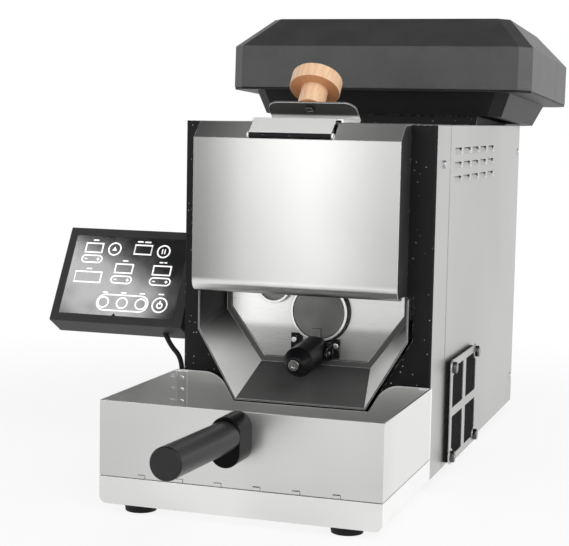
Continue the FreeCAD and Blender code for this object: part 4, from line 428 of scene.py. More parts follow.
# %% [markdown]
# A shade function paints light and shade onto places of the machine, and also draws dark joint lines: above
# a height, beside a seam, or on the faces that look one way. It needs one coordinate at a time and masks of
# faces. The masks are made from the true normal, so a rounded edge doesn't soften them.

# %% Helpers: masks by place and by face


def machine_axis(tree, axis):
    """One coordinate of the machine, in metres, as a socket."""
    return axes_of(tree, own_place(tree))[axis]


def by_place(tree, axis, low, high, to_low, to_high):
    """A level that changes between two places along one axis of the machine."""
    return spread(tree, machine_axis(tree, axis), low, high, to_low, to_high)


def by_height(tree, low, high, to_low, to_high):
    """A level that changes between two heights."""
    return by_place(tree, "Z", low, high, to_low, to_high)


def faces(tree, axis, more_than):
    """A mask of the faces that look along an axis, or against it where the limit is negative."""
    points = axes_of(tree, add(tree, "NewGeometry").outputs["True Normal"])
    return work_out(tree, "LESS_THAN" if more_than < 0 else "GREATER_THAN", points[axis], more_than)


print("mask helpers ready")

# %% [markdown]
# The side covers, the top and the back are one plain steel. The only thing on them is the dark
# joint line beside the front strip, which is drawn by the distance from the seam. The screws are
# brighter or darker steel, the inside is duller, and the discharge door is stained by the heat.

# %% Plain steel finishes
SIDE_SEAM = place(0, 46.15, 0).y
SEAM_DARK, SEAM_CLEAR, SEAM_LEVEL = 0.8 * MM, 1.4 * MM, 0.15


def seam_shade(tree):
    """The dark joint line between the front strip and the side cover."""
    from_seam = work_out(tree, "SUBTRACT", machine_axis(tree, "Y"), SIDE_SEAM)
    return spread(tree, work_out(tree, "ABSOLUTE", from_seam), SEAM_DARK, SEAM_CLEAR, SEAM_LEVEL, 1.0)


side_steel = steel_finish("Side panel steel", dark=0.50, light=0.55, roughness=0.40, along_by=6.0,
                          across_by=900.0, cloud_size=5.0, edge=0.6 * MM, streak=0.008, shade=seam_shade)
dark_steel = steel_finish("Dark screw steel", dark=0.05, light=0.10, roughness=0.22, along_by=200.0,
                          across_by=900.0, cloud_size=60.0, edge=0.3 * MM)
inner_steel = steel_finish("Inner steel", dark=0.30, light=0.46, roughness=0.45, along_by=40.0,
                           across_by=600.0, cloud_size=20.0)
screw_steel = steel_finish("Screw steel", dark=0.45, light=0.75, roughness=0.25, along_by=200.0,
                           across_by=900.0, cloud_size=60.0, edge=0.3 * MM)
port_steel = steel_finish("Discharge door steel", dark=0.10, light=0.15, roughness=0.35, along_by=20.0,
                          across_by=900.0, cloud_size=30.0)
plain_steels = (side_steel, dark_steel, inner_steel, screw_steel, port_steel)
print("plain steel finishes:", [made.name for made in plain_steels])

# %% [markdown]
# The front cover is one folded sheet that is painted bright in the middle and greyer towards both sides, as
# painted shade and reflection. The bevel above the fold is painted lighter than the flat below it, and the
# roll at the bottom keeps one even level with a few painted highlight streaks. The level along X comes from
# a ramp with several stops, and two masks by height say where the bevel starts and where the roll ends.

# %% Front cover finish
BEVEL_START, ROLL_END = 250.5 * MM, 150.0 * MM
COVER_LEFT, COVER_RIGHT = place(-76.75, 0, 0).x, place(76.75, 0, 0).x
# Painted shade and reflection across the cover, darker towards both sides.
COVER_PAINTED_SHADE = ((0.0, 0.24), (0.10, 0.32), (0.24, 0.56), (0.50, 0.76), (0.66, 0.74),
                (0.85, 0.53), (1.0, 0.46))
FOLD, BEVEL_PAINTED_LIGHT, ROLL_FADE = 0.3 * MM, 1.50, 6.0 * MM
STREAK_STRETCH, STREAK_SPAN, ROLL_PAINTED_LEVELS = (35.0, 220.0, 220.0), (0.35, 0.70), (0.92, 1.12)


def cover_shade(tree):
    """Painted shade and light: the cover's levels from left to right, times the bevel's, and the roll with
    its painted highlight streaks.
    """
    flat = level_ramp(tree, machine_axis(tree, "X"), COVER_LEFT, COVER_RIGHT, COVER_PAINTED_SHADE)
    bevel = by_height(tree, BEVEL_START - FOLD, BEVEL_START + FOLD, 1.0, BEVEL_PAINTED_LIGHT)
    # Painted highlight streaks on the roll.
    roll_streaks = noise(tree, 1.0, at=stretched(tree, own_place(tree), STREAK_STRETCH))
    roll = spread(tree, roll_streaks, *STREAK_SPAN, *ROLL_PAINTED_LEVELS)
    on_roll = by_height(tree, ROLL_END - ROLL_FADE, ROLL_END, 1.0, 0.0)
    return choose_level(tree, on_roll, times(tree, flat, bevel), roll)


cover_steel = steel_finish("Front cover steel", dark=0.80, light=0.88, roughness=0.30, along_by=5.0,
                           across_by=1200.0, cloud_size=7.0, edge=0.7 * MM, shade=cover_shade, streak=0.008)
print("cover from", round(COVER_LEFT, 4), "to", round(COVER_RIGHT, 4))

# %% [markdown]
# The lid's flat is bright like the cover, and its raised lip is painted nearly black as a painted dark
# reflection, with only the rim lit by a painted edge highlight. The change is a mask by height over two
# millimetres, just where the lip bends up. The lid is brushed so finely that it scatters much of its light,
# so it is only partly a metal in the shader.

# %% Lid finish
# The lip's low level is a painted dark reflection.
LIP_START, LIP_BEND, LIP_PAINTED_SHADE = 266.4 * MM, 2.0 * MM, 0.05


def lid_shade(tree):
    """The lid's flat at full level, its lip painted nearly black as a painted dark reflection."""
    return by_height(tree, LIP_START, LIP_START + LIP_BEND, 1.0, LIP_PAINTED_SHADE)


lid_steel = steel_finish("Lid steel", dark=0.92, light=0.97, roughness=0.24, along_by=8.0,
                         across_by=1200.0, cloud_size=12.0, edge=1.1 * MM, shade=lid_shade, metallic=0.35)
print("lid lip from", round(LIP_START, 4))

# %% [markdown]
# The tray is painted brighter inside and along its base, as painted reflection. Its outer walls are painted
# duller in front and brighter at the sides, as painted shade and highlight. The tray and its base are two
# pressings, with a dark line where they meet. The line is part of the ramp along Z: two close stops on each
# side make its edges sharp.

# %% Tray finish
TRAY_SEAM, SEAM_SPAN = 25.0 * MM, 2.0 * MM
TRAY_RIGHT, TRAY_BACK = place(98.0, 0, 0).x, place(0, -6.5, 0).y
INSIDE_RIGHT = (TRAY_RIGHT - 6.0 * MM, TRAY_RIGHT - 4.0 * MM)
INSIDE_BACK = (TRAY_BACK - 4.0 * MM, TRAY_BACK - 3.0 * MM)
# Painted reflection: the base level is higher than the walls; the dip between them is the dark joint line.
TRAY_SHADE_AND_JOINT = ((0.0, 1.14), (0.34, 1.14), (0.36, 0.22), (0.52, 0.22), (0.54, 0.90), (1.0, 0.90))
BACK_WALL_HIGHLIGHT, LEFT_WALL_HIGHLIGHT = 1.40, 1.35


def tray_shade(tree):
    """The base and the inside are painted brighter than the walls, as painted reflection, with a dark joint
    line.
    """
    left_wall = times(tree, faces(tree, "X", LOOKS_ALONG), by_place(tree, "X", *INSIDE_RIGHT, 1.0, 0.0))
    back_wall = by_place(tree, "Y", *INSIDE_BACK, 0.0, 1.0)
    back_inside_light = choose_level(tree, back_wall, 1.0, BACK_WALL_HIGHLIGHT)
    inside = choose_level(tree, left_wall, back_inside_light, LEFT_WALL_HIGHLIGHT)
    walls = level_ramp(tree, machine_axis(tree, "Z"), TRAY_SEAM - SEAM_SPAN, TRAY_SEAM + SEAM_SPAN,
                       TRAY_SHADE_AND_JOINT, "LINEAR")
    return times(tree, inside, walls)


# The sideways gain paints the tray's side faces brighter, as a painted highlight.
tray_steel = steel_finish("Tray steel", dark=0.60, light=0.68, roughness=0.30, along_by=6.0,
                          across_by=1100.0, cloud_size=9.0, edge=0.6 * MM, side_highlight_gain=1.36,
                          shade=tray_shade, streak=0.008)
print("tray seam at", TRAY_SEAM)

# %% [markdown]
# The chute's walls are painted dark near the top and bright lower down, as painted shade and reflection,
# brightest on the wall that faces left. Its floor and its back flange are painted dark, as painted shade.
# The chute's finish scatters some of its light, so it is not a full metal.

# %% Chute finish
CHUTE_LIT_BELOW, CHUTE_SHADED_ABOVE = 84.0 * MM, 130.0 * MM
# Painted shade and reflection by height on the walls, and painted shade on the floor and the flange.
CHUTE_PAINTED_SHADE = ((0.0, 1.0), (0.24, 0.84), (0.46, 0.24), (0.72, 0.02), (1.0, 0.01))
LEFT_FACING_HIGHLIGHT, CHUTE_FLOOR_SHADE, FLANGE_SHADE = 1.5, 0.11, 0.13
LOOKS_LEFT, LOOKS_UP, LOOKS_FORWARD = -0.5, 0.8, -0.8


def chute_shade(tree):
    """Painted shade by height on the walls, and one painted shade level each for the floor and the flange.
    """
    walls = level_ramp(tree, machine_axis(tree, "Z"), CHUTE_LIT_BELOW, CHUTE_SHADED_ABOVE, CHUTE_PAINTED_SHADE)
    wall_highlight = choose_level(tree, faces(tree, "X", LOOKS_LEFT), walls, times(tree, walls, LEFT_FACING_HIGHLIGHT))
    with_floor_shade = choose_level(tree, faces(tree, "Z", LOOKS_UP), wall_highlight, CHUTE_FLOOR_SHADE)
    return choose_level(tree, faces(tree, "Y", LOOKS_FORWARD), with_floor_shade, FLANGE_SHADE)


chute_steel = steel_finish("Chute steel", dark=0.92, light=0.98, roughness=0.36, along_by=20.0,
                           across_by=700.0, cloud_size=18.0, edge=0.9 * MM, shade=chute_shade,
                           metallic=0.12, specular=0.15)
# The chute is painted light below this height and painted in shade above it.
print("chute clean below", CHUTE_LIT_BELOW, "and oily above", CHUTE_SHADED_ABOVE)

# %% [markdown]
# The plate behind the chute is painted greyer below the port, as painted shade. The port's raised ring has a
# painted highlight, with a thin painted shadow around it. Both are levels along the distance from the port's
# centre, so one ramp holds them. The distance is taken in X and Z only, because the plate is flat.

# %% Recess plate finish
PORT_CENTRE, PORT_R = place(3.0, 0.0, 121.3), 20.2 * MM
RING_SPAN = 5.0 * MM
RING_HIGHLIGHT_AND_SHADOW = ((0.0, 1.15), (0.36, 1.15), (0.40, 0.06), (0.62, 0.06), (0.80, 1.0), (1.0, 1.0))
SHADE_BELOW, LIT_ABOVE = PORT_CENTRE.z - 16.0 * MM, PORT_CENTRE.z - 9.0 * MM
LOW_PLATE_SHADE, LEFT_PLATE_GAIN, LEFT_PLATE_SPAN = 0.56, 1.40, 55.0 * MM


def recess_shade(tree):
    """Painted shade below the port, brighter to the left, with the ring's painted highlight and shadow."""
    # Painted shade below the port.
    lower = by_height(tree, SHADE_BELOW, LIT_ABOVE, LOW_PLATE_SHADE, 1.0)
    flat_place = add(tree, "CombineXYZ")
    wire(tree, machine_axis(tree, "X"), flat_place.inputs["X"])
    wire(tree, machine_axis(tree, "Z"), flat_place.inputs["Z"])
    from_port = add(tree, "VectorMath", operation="DISTANCE")
    wire(tree, flat_place.outputs[0], from_port.inputs[0])
    from_port.inputs[1].default_value = (PORT_CENTRE.x, 0.0, PORT_CENTRE.z)
    # Painted highlight on the ring, then a thin painted shadow around it.
    ring = level_ramp(tree, from_port.outputs["Value"], PORT_R, PORT_R + RING_SPAN, RING_HIGHLIGHT_AND_SHADOW,
                      "LINEAR")
    left = by_place(tree, "X", PORT_CENTRE.x - LEFT_PLATE_SPAN, PORT_CENTRE.x, LEFT_PLATE_GAIN, 1.0)
    return times(tree, times(tree, lower, left), ring)


recess_steel = steel_finish("Recess plate steel", dark=0.67, light=0.73, roughness=0.28, along_by=8.0,
                            across_by=1000.0, cloud_size=12.0, edge=0.6 * MM, metallic=0.85,
                            shade=recess_shade, streak=0.008)
print("port ring to", round(PORT_R + RING_SPAN, 4), "from its centre")

# %% [markdown]
# The hood and the front frame are powder painted, charcoal above and black below. Paint over steel is not a
# metal in the shader: it is a dark dielectric with a broad soft gloss. Its low specular level is set on the
# shader itself, and the groups add the pebbles, the specks and a painted highlight along the edges. On some
# paints there are pale chips along the edges, which are chipped paint and painted glints at once. Moulded
# plastic is made the same way, with finer pebbles.

# %% Coated finish
CHIP_AND_GLINT, CHAFF_DUST = (0.80, 0.80, 0.79), (0.62, 0.61, 0.59)
MOTTLE_GAIN, COAT_GLOSS_CHANGE = 1.35, 0.06


def coated_finish(name, color, edge_highlight, roughness, specular, grain_size, depth, specks=0.0,
                  edge=0.5 * MM, chips_and_glints=0.0):
    """Powder paint or moulded plastic, pebbled, with a painted highlight on the edges and a few pale specks.
    """
    material, tree, shader = start_finish(name, color, roughness, specular=specular)
    powder = use_group(tree, powder_coat, Grain_Size=grain_size, Speck_Amount=specks)
    rounded = use_group(tree, soft_edge, Radius=edge)
    mottle = spread(tree, powder.outputs["Mottle"], NOISE_LOW, NOISE_HIGH, 0.0, 1.0)
    base = blend_colors(tree, mottle, color, tuple(part * MOTTLE_GAIN for part in color))
    # A lighter colour along the edges: a painted highlight.
    edged_color = blend_colors(tree, rounded.outputs["Edge"], base, edge_highlight)
    if chips_and_glints:
        # Pale chips along the edges: chipped paint that also serves as painted glints.
        chip_and_glint_mask = times(tree, times(tree, rounded.outputs["Edge"], powder.outputs["Chip"]), chips_and_glints)
        edged_color = blend_colors(tree, chip_and_glint_mask, edged_color, CHIP_AND_GLINT)
    dusty = blend_colors(tree, powder.outputs["Speck"], edged_color, CHAFF_DUST)
    wire(tree, dusty, shader.inputs["Base Color"])
    wire(tree, spread(tree, powder.outputs["Grain"], NOISE_LOW, NOISE_HIGH,
                      roughness - COAT_GLOSS_CHANGE, roughness + COAT_GLOSS_CHANGE, soft=False),
         shader.inputs["Roughness"])
    dent(tree, shader, powder.outputs["Grain"], depth, rounded.outputs["Normal"])
    return material


print("coats turn lighter by", MOTTLE_GAIN, "in patches")

# %% [markdown]
# Four paints are needed. The hood is charcoal, with a painted highlight along its edges, and the tub under
# it is the same charcoal painted blacker, as painted shade. The front frame is matt black and the most
# chipped and dusty of all, as beans and chaff strike it, and its pale edge chips also serve as painted
# glints. The two ends of the front cover are a satin black.

# %% Paints
charcoal_paint = coated_finish("Charcoal powder paint", (0.029, 0.029, 0.029),
                               edge_highlight=(0.16, 0.16, 0.16), roughness=0.40, specular=0.60,
                               grain_size=900.0, depth=0.08 * MM, specks=0.03, edge=1.0 * MM)
# The tub is the hood's charcoal painted blacker, as painted shade.
shaded_tub_paint = coated_finish("Hood tub shaded paint", (0.0035, 0.0035, 0.0035), edge_highlight=(0.06, 0.06, 0.06),
                          roughness=0.46, specular=0.22, grain_size=900.0, depth=0.08 * MM, specks=0.03,
                          edge=0.8 * MM)
black_paint = coated_finish("Black powder paint", (0.005, 0.005, 0.006), edge_highlight=(0.05, 0.05, 0.05),
                            roughness=0.46, specular=0.18, grain_size=1100.0, depth=0.10 * MM, specks=0.17,
                            edge=0.8 * MM, chips_and_glints=1.0)
end_paint = coated_finish("Satin black paint", (0.026, 0.026, 0.026), edge_highlight=(0.20, 0.20, 0.20),
                          roughness=0.36, specular=0.50, grain_size=1100.0, depth=0.04 * MM, specks=0.05,
                          edge=1.0 * MM, chips_and_glints=1.0)
print("paints:", [made.name for made in (charcoal_paint, shaded_tub_paint, black_paint, end_paint)])

# %% [markdown]
# The tray's grip, its base, the fan and the control box are moulded, each with its own black and gloss. The
# grip and its base have the brightest painted highlights along their edges. Rubber is the same coat with a
# rougher surface and almost no painted edge highlight.

# %% Plastics and rubber
handle_plastic = coated_finish("Handle plastic", (0.007, 0.007, 0.008), edge_highlight=(0.30, 0.30, 0.30),
                               roughness=0.34, specular=0.34, grain_size=1800.0, depth=0.05 * MM,
                               edge=0.6 * MM)
boss_plastic = coated_finish("Handle base plastic", (0.001, 0.001, 0.001), edge_highlight=(0.30, 0.30, 0.30),
                             roughness=0.24, specular=0.08, grain_size=1800.0, depth=0.03 * MM,
                             edge=0.6 * MM)
black_plastic = coated_finish("Black moulded plastic", (0.004, 0.004, 0.005), edge_highlight=(0.02, 0.02, 0.02),
                              roughness=0.34, specular=0.18, grain_size=1800.0, depth=0.05 * MM)
box_plastic = coated_finish("Control box plastic", (0.026, 0.026, 0.027), edge_highlight=(0.08, 0.08, 0.08),
                            roughness=0.50, specular=0.28, grain_size=1500.0, depth=0.07 * MM)
rubber = coated_finish("Black rubber", (0.006, 0.006, 0.006), edge_highlight=(0.015, 0.015, 0.015),
                       roughness=0.60, specular=0.20, grain_size=700.0, depth=0.05 * MM)
print("moulded:", [made.name for made in (handle_plastic, boss_plastic, black_plastic, box_plastic, rubber)])

# %% [markdown]
# The lid knob is turned from light beech. The grain of a turned knob runs along its axis, so its
# side shows long faint lines and small flecks, and its face shows arcs of growth rings. A Mapping
# node turns the pattern onto the knob's tilted axis. Wide, wandering bands from a Wave texture
# give the rings, stretched noise gives the flecks, and a light oil makes it a little glossy.

# %% Beech: rings and flecks
KNOB_TILT, KNOB_TURN = math.radians(37.0), 0.35
RING_DARK, RING_LIGHT, RING_TURNS_LIGHT = (0.85, 0.54, 0.33), (0.91, 0.62, 0.41), 0.9
FLECK_STRETCH = (700.0, 700.0, 120.0)

beech, tree, shader = start_finish("Oiled beech", (0.84, 0.60, 0.42), roughness=0.40)
turn = add(tree, "Mapping", vector_type="POINT")
turn.inputs["Rotation"].default_value = (KNOB_TILT, 0.0, KNOB_TURN)
wire(tree, own_place(tree), turn.inputs["Vector"])
rings = add(tree, "TexWave", wave_type="BANDS", bands_direction="X")
for label, value in (("Scale", 70.0), ("Distortion", 3.0), ("Detail", 4.0), ("Detail Scale", 2.2),
                     ("Detail Roughness", 0.6)):
    rings.inputs[label].default_value = value
wire(tree, turn.outputs[0], rings.inputs["Vector"])
ring_tone = add(tree, "ValToRGB")
ring_stops = ((0.0, RING_DARK), (RING_TURNS_LIGHT, RING_LIGHT))
for element, (where, color) in zip(ring_tone.color_ramp.elements, ring_stops):
    element.position, element.color = where, (*color, 1.0)
wire(tree, rings.outputs["Fac"], ring_tone.inputs["Fac"])
flecks = noise(tree, 1.0, detail=4.0, at=stretched(tree, turn.outputs[0], FLECK_STRETCH))
print("knob tilts by", round(math.degrees(KNOB_TILT), 1), "degrees")

# %% [markdown]
# The underside of the knob's head is painted a darker orange than its side, as painted shade. It is found
# with a dot product: it looks straight against the knob's axis, and the side doesn't. The rim is painted
# pale as a painted highlight, which the edge mask gives.

# %% Beech: painted underside shade and rim highlight
FLECK, UNDERSIDE_SHADE, RIM_HIGHLIGHT = (0.56, 0.27, 0.13), (0.62, 0.27, 0.11), (0.92, 0.72, 0.54)
UNDERSIDE_FULL, UNDERSIDE_STARTS, UNDERSIDE_AMOUNT = -0.98, -0.60, 0.9
FLECK_STARTS, FLECK_FULL, FLECK_AMOUNT = 0.58, 0.72, 0.5
OILED, DRY, FLECK_DEPTH, RIM_RADIUS = 0.34, 0.48, 0.04 * MM, 0.8 * MM

along_axis = add(tree, "VectorMath", operation="DOT_PRODUCT")
wire(tree, add(tree, "NewGeometry").outputs["True Normal"], along_axis.inputs[0])
along_axis.inputs[1].default_value = (0.0, math.sin(KNOB_TILT), math.cos(KNOB_TILT))
# The underside of the head is painted darker, as painted shade.
underside_mask = spread(tree, along_axis.outputs["Value"], UNDERSIDE_FULL, UNDERSIDE_STARTS, UNDERSIDE_AMOUNT, 0.0)
fleck_mask = spread(tree, flecks, FLECK_STARTS, FLECK_FULL, 0.0, FLECK_AMOUNT)
side_wood = blend_colors(tree, fleck_mask, ring_tone.outputs[0], FLECK)
wood = blend_colors(tree, underside_mask, side_wood, UNDERSIDE_SHADE)
knob_edge = use_group(tree, soft_edge, Radius=RIM_RADIUS)
# A pale rim along the edges: a painted highlight.
wire(tree, blend_colors(tree, knob_edge.outputs["Edge"], wood, RIM_HIGHLIGHT), shader.inputs["Base Color"])
wire(tree, spread(tree, flecks, NOISE_LOW, NOISE_HIGH, OILED, DRY), shader.inputs["Roughness"])
dent(tree, shader, flecks, FLECK_DEPTH, knob_edge.outputs["Normal"])
print("beech ready")

# %% [markdown]
# The control panel is a sheet of glass over a black print, so it is nearly black and very
# smooth. Faint finger smears change its roughness, and its colour by next to nothing, so they
# show only where a lamp is mirrored.

# %% Panel glass
SMEAR_SCALE, SMEAR_SPAN, SMEAR_ROUGHNESS = 45.0, (0.4, 0.7), (0.08, 0.13)
CLEAN_BLACK, SMEARED_BLACK = (0.003, 0.003, 0.004), (0.007, 0.007, 0.008)

panel_glass, tree, shader = start_finish("Panel glass", (0.004, 0.004, 0.005), roughness=0.05)
smears = noise(tree, SMEAR_SCALE, detail=4.0)
wire(tree, spread(tree, smears, *SMEAR_SPAN, *SMEAR_ROUGHNESS), shader.inputs["Roughness"])
wire(tree, blend_colors(tree, smears, CLEAN_BLACK, SMEARED_BLACK), shader.inputs["Base Color"])
print("finish:", panel_glass.name)

# %% [markdown]
# The sight glass in the plate is clouded by roast haze, so only part of the light passes through
# it. How much passes is the transmission on the shader, and a fine noise in the roughness makes
# the haze uneven.

# %% Sight glass
CLEAR_SHARE = 0.45
HAZE_SCALE, HAZE_SPAN, HAZE_ROUGHNESS = 160.0, (0.35, 0.7), (0.03, 0.22)

sight_finish, tree, shader = start_finish("Sight glass", (0.86, 0.87, 0.86), roughness=0.05)
shader.inputs["Transmission Weight"].default_value = CLEAR_SHARE
haze = noise(tree, HAZE_SCALE)
wire(tree, spread(tree, haze, *HAZE_SPAN, *HAZE_ROUGHNESS), shader.inputs["Roughness"])
print("finish:", sight_finish.name)

# %% [markdown]
# The circuit boards are hidden in use but still have to be right: green lacquer with lighter
# copper tracks under it. A Brick texture draws thin straight lines that pass for tracks, and the
# same lines raise the lacquer a little.

# %% Circuit board
TRACKS = {"Scale": 90.0, "Mortar Size": 0.03, "Brick Width": 0.9, "Row Height": 0.22,
          "Color1": (0.012, 0.12, 0.045), "Color2": (0.016, 0.15, 0.055), "Mortar": (0.05, 0.28, 0.12)}
TRACK_DEPTH = 0.03 * MM

board_finish, tree, shader = start_finish("Circuit board", (0.02, 0.16, 0.06), roughness=0.35)
tracks = add(tree, "TexBrick")
for label, value in TRACKS.items():
    feed(tree, value, tracks.inputs[label])
wire(tree, own_place(tree), tracks.inputs["Vector"])
wire(tree, tracks.outputs["Color"], shader.inputs["Base Color"])
dent(tree, shader, tracks.outputs["Fac"], TRACK_DEPTH)
print("finish:", board_finish.name)

# %% [markdown]
# Behind the fan guard sits a sheet of open-pored filter foam. It is rough and nearly black, with
# small deep pores. A Voronoi texture makes the pores, both as colour and as dents.

# %% Filter foam
PORE_SCALE, PORE_SPAN, PORE_DEPTH = 900.0, (0.1, 0.5), 0.6 * MM
PORE_BLACK, FOAM_BLACK = (0.003, 0.003, 0.003), (0.020, 0.020, 0.021)

foam_finish, tree, shader = start_finish("Filter foam", (0.012, 0.012, 0.012), roughness=0.9,
                                         specular=0.05)
pores = add(tree, "TexVoronoi")
pores.inputs["Scale"].default_value = PORE_SCALE
wire(tree, own_place(tree), pores.inputs["Vector"])
from_pore = spread(tree, pores.outputs["Distance"], *PORE_SPAN, 0.0, 1.0)
wire(tree, blend_colors(tree, from_pore, PORE_BLACK, FOAM_BLACK), shader.inputs["Base Color"])
dent(tree, shader, pores.outputs["Distance"], PORE_DEPTH)
print("finish:", foam_finish.name)

# %% [markdown]
# The marks on the panel are white ink with a painted glow, which keeps them white in the box's shade.
# Emission on the shader gives the painted glow. It stays below 1, so that the marks are clear but don't
# outshine the room. A fine noise keeps the print from being one flat white.

# %% White ink
INK_PAINTED_GLOW, INK_SCALE = 0.55, 900.0
THIN_INK, FULL_INK = (0.92, 0.93, 0.93), (0.97, 0.97, 0.97)

ink_finish, tree, shader = start_finish("White ink", (0.95, 0.96, 0.96), roughness=0.5)
ink = blend_colors(tree, noise(tree, INK_SCALE), THIN_INK, FULL_INK)
wire(tree, ink, shader.inputs["Base Color"])
# The glow is painted: the marks stay white even in shade.
shader.inputs["Emission Color"].default_value = (1.0, 1.0, 1.0, 1.0)
shader.inputs["Emission Strength"].default_value = INK_PAINTED_GLOW
print("finish:", ink_finish.name)

# %% [markdown]
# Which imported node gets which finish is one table. It is by finish, so that one look at it shows
# which parts are made alike, and a new finish needs only one line.

# %% Which node gets which finish
FINISHES = {
    side_steel: ["side_cover_right", "side_cover_left", "top_plate", "rear_panel", "front_housing",
                 "fan_guard"],
    cover_steel: ["front_cover"],
    lid_steel: ["inlet_lid", "lid_hinge_bracket"],
    chute_steel: ["discharge_chute"],
    recess_steel: ["recess_plate", "inlet_hopper"],
    port_steel: ["discharge_door"],
    tray_steel: ["cooling_tray", "tray_base", "tray_sieve"],
    inner_steel: ["roasting_drum", "drum_shaft", "shaft_coupling", "drum_rear_plate", "exhaust_duct",
                  "drum_bearing", "drum_housing", "heaters", "cooling_duct", "chaff_screen"],
    screw_steel: ["lid_hinge_pin", "lever_nose_screw", "discharge_pin", "bean_probe",
                  "handle_bolts", "casing_screws"],
    charcoal_paint: ["hood_cap"],
    shaded_tub_paint: ["hood_tub"],
    black_paint: ["base_pan", "front_frame", "lid_hinge_bar", "gear_motor", "hood_collar",
                  "exhaust_motor", "discharge_bracket"],
    end_paint: ["front_cover_ends"],
    handle_plastic: ["tray_handle_grip"],
    boss_plastic: ["tray_handle_base"],
    black_plastic: ["discharge_lever", "cooling_fan_frame", "cooling_impeller", "exhaust_impeller",
                    "power_inlet"],
    dark_steel: ["guard_screws", "lid_knob_screw"],
    box_plastic: ["control_case"],
    rubber: ["control_cable", "feet"],
    beech: ["lid_knob"],
    panel_glass: ["control_glass"],
    sight_finish: ["sight_glass"],
    board_finish: ["control_board", "power_board"],
    foam_finish: ["fan_filter"],
}
print("finishes in the table:", len(FINISHES))

# %% [markdown]
# A node keeps its mesh, and only the material in its slots is exchanged. The count at the end
# shows at once if a node was forgotten.

# %% Give every node its finish


def wear(obj, material):
    """Puts a finish into an object's material slots."""
    if not obj.material_slots:
        obj.data.materials.append(material)
    for slot in obj.material_slots:
        slot.material = material


for finish, names in FINISHES.items():
    for name in names:
        wear(nodes[name], finish)
dressed = set(sum(FINISHES.values(), []))
print("dressed nodes:", len(dressed), "of", len(nodes), "left:", sorted(set(nodes) - dressed))

# %% [markdown]
# The glass carries white marks: five small displays, three rounded bars with a minus and a plus
# sign, a row of three round keys, a triangle, a pause sign and a power key. They could be an
# image, but a picture file is not wanted here, or a drawing inside the shader, which gets blurred
# when it is baked. So each mark is a real, very thin outline. A box starts as a plane whose corners
# are rounded with a vertex bevel, and a key starts as a circle. Then the face is inset by the width
# of the line and its middle is taken out.

# %% Helpers for flat marks, in millimetres
LINE = 1.15
CORNER_STEPS, RING_STEPS = 6, 40


def clear_selection():
    """Leaves edit mode with nothing selected, because an operator acts on all that is selected."""
    if bpy.context.object and bpy.context.object.mode != "OBJECT":
        bpy.ops.object.mode_set(mode="OBJECT")
    bpy.ops.object.select_all(action="DESELECT")


def hollow_out(line):
    """Insets the one face being edited and deletes its middle."""
    bpy.ops.mesh.inset(thickness=line * MM, depth=0.0)
    bpy.ops.mesh.delete(type="FACE")


def box_mark(x, y, width, height, corner, line=LINE):
    """A rounded box outline, or a filled one where line is nothing."""
    clear_selection()
    bpy.ops.mesh.primitive_plane_add(size=1.0, location=(x * MM, y * MM, 0))
    made = bpy.context.object
    made.scale = (width * MM, height * MM, 1.0)
    bpy.ops.object.transform_apply(location=False, rotation=False, scale=True)
    bpy.ops.object.mode_set(mode="EDIT")
    bpy.ops.mesh.select_all(action="SELECT")
    bpy.ops.mesh.bevel(offset=corner * MM, segments=CORNER_STEPS, affect="VERTICES")
    bpy.ops.mesh.select_all(action="SELECT")
    if line:
        hollow_out(line)
    bpy.ops.object.mode_set(mode="OBJECT")
    return made


def round_mark(x, y, radius, corners=RING_STEPS):
    """A ring, or a triangle where it has three corners."""
    clear_selection()
    bpy.ops.mesh.primitive_circle_add(vertices=corners, radius=radius * MM, fill_type="NGON",
                                      location=(x * MM, y * MM, 0))
    made = bpy.context.object
    bpy.ops.object.mode_set(mode="EDIT")
    bpy.ops.mesh.select_all(action="SELECT")
    hollow_out(LINE)
    bpy.ops.object.mode_set(mode="OBJECT")
    return made


print("mark helpers ready, line width", LINE, "mm")

# %% [markdown]
# The places of the marks are counted on the glass, in millimetres from its lower left corner.
# The displays are a table of left, bottom, width and height. A bar with a minus and a plus sign
# sits under three of them, and short dashes stand for the captions on such a panel.

# %% Displays, bars and captions
DISPLAYS = ((9.3, 52.1, 15.4, 8.9), (51.0, 52.3, 15.6, 8.9), (5.4, 26.5, 23.6, 9.9),
            (38.4, 35.7, 15.6, 8.6), (70.4, 35.6, 15.6, 8.7))
TOUCH_BARS = ((17.1, 47.0), (46.0, 30.5), (78.5, 30.6))
TOUCH_W, TOUCH_H, HALF_ROUND = 18.2, 7.1, 0.499
SIGN_AT, SIGN_LONG, SIGN_THICK = 5.2, 2.6, 0.8
CAPTIONS = ((17.2, 63.2, 4.8), (55.1, 63.5, 5.0), (61.5, 63.4, 5.4), (17.0, 38.5, 4.8),
            (46.1, 46.6, 4.8), (76.4, 46.7, 3.2), (80.0, 46.7, 2.4), (35.5, 19.3, 4.2),
            (50.9, 19.5, 4.6), (66.5, 19.7, 4.6), (82.2, 20.1, 4.8))
CAPTION_H = 1.1
DISPLAY_CORNER, SIGN_CORNER, CAPTION_CORNER = 0.3, 0.2, 0.4

marks = []
for x, y, width, height in DISPLAYS:
    marks.append(box_mark(x + width / 2, y + height / 2, width, height, DISPLAY_CORNER))
for x, y in TOUCH_BARS:
    marks.append(box_mark(x, y, TOUCH_W, TOUCH_H, TOUCH_H * HALF_ROUND))
    marks.append(box_mark(x - SIGN_AT, y, SIGN_LONG, SIGN_THICK, SIGN_CORNER, line=0))
    marks.append(box_mark(x + SIGN_AT, y, SIGN_LONG, SIGN_THICK, SIGN_CORNER, line=0))
    marks.append(box_mark(x + SIGN_AT, y, SIGN_THICK, SIGN_LONG, SIGN_CORNER, line=0))
for x, y, width in CAPTIONS:
    marks.append(box_mark(x, y, width, CAPTION_H, CAPTION_CORNER, line=0))
print("marks so far:", len(marks))

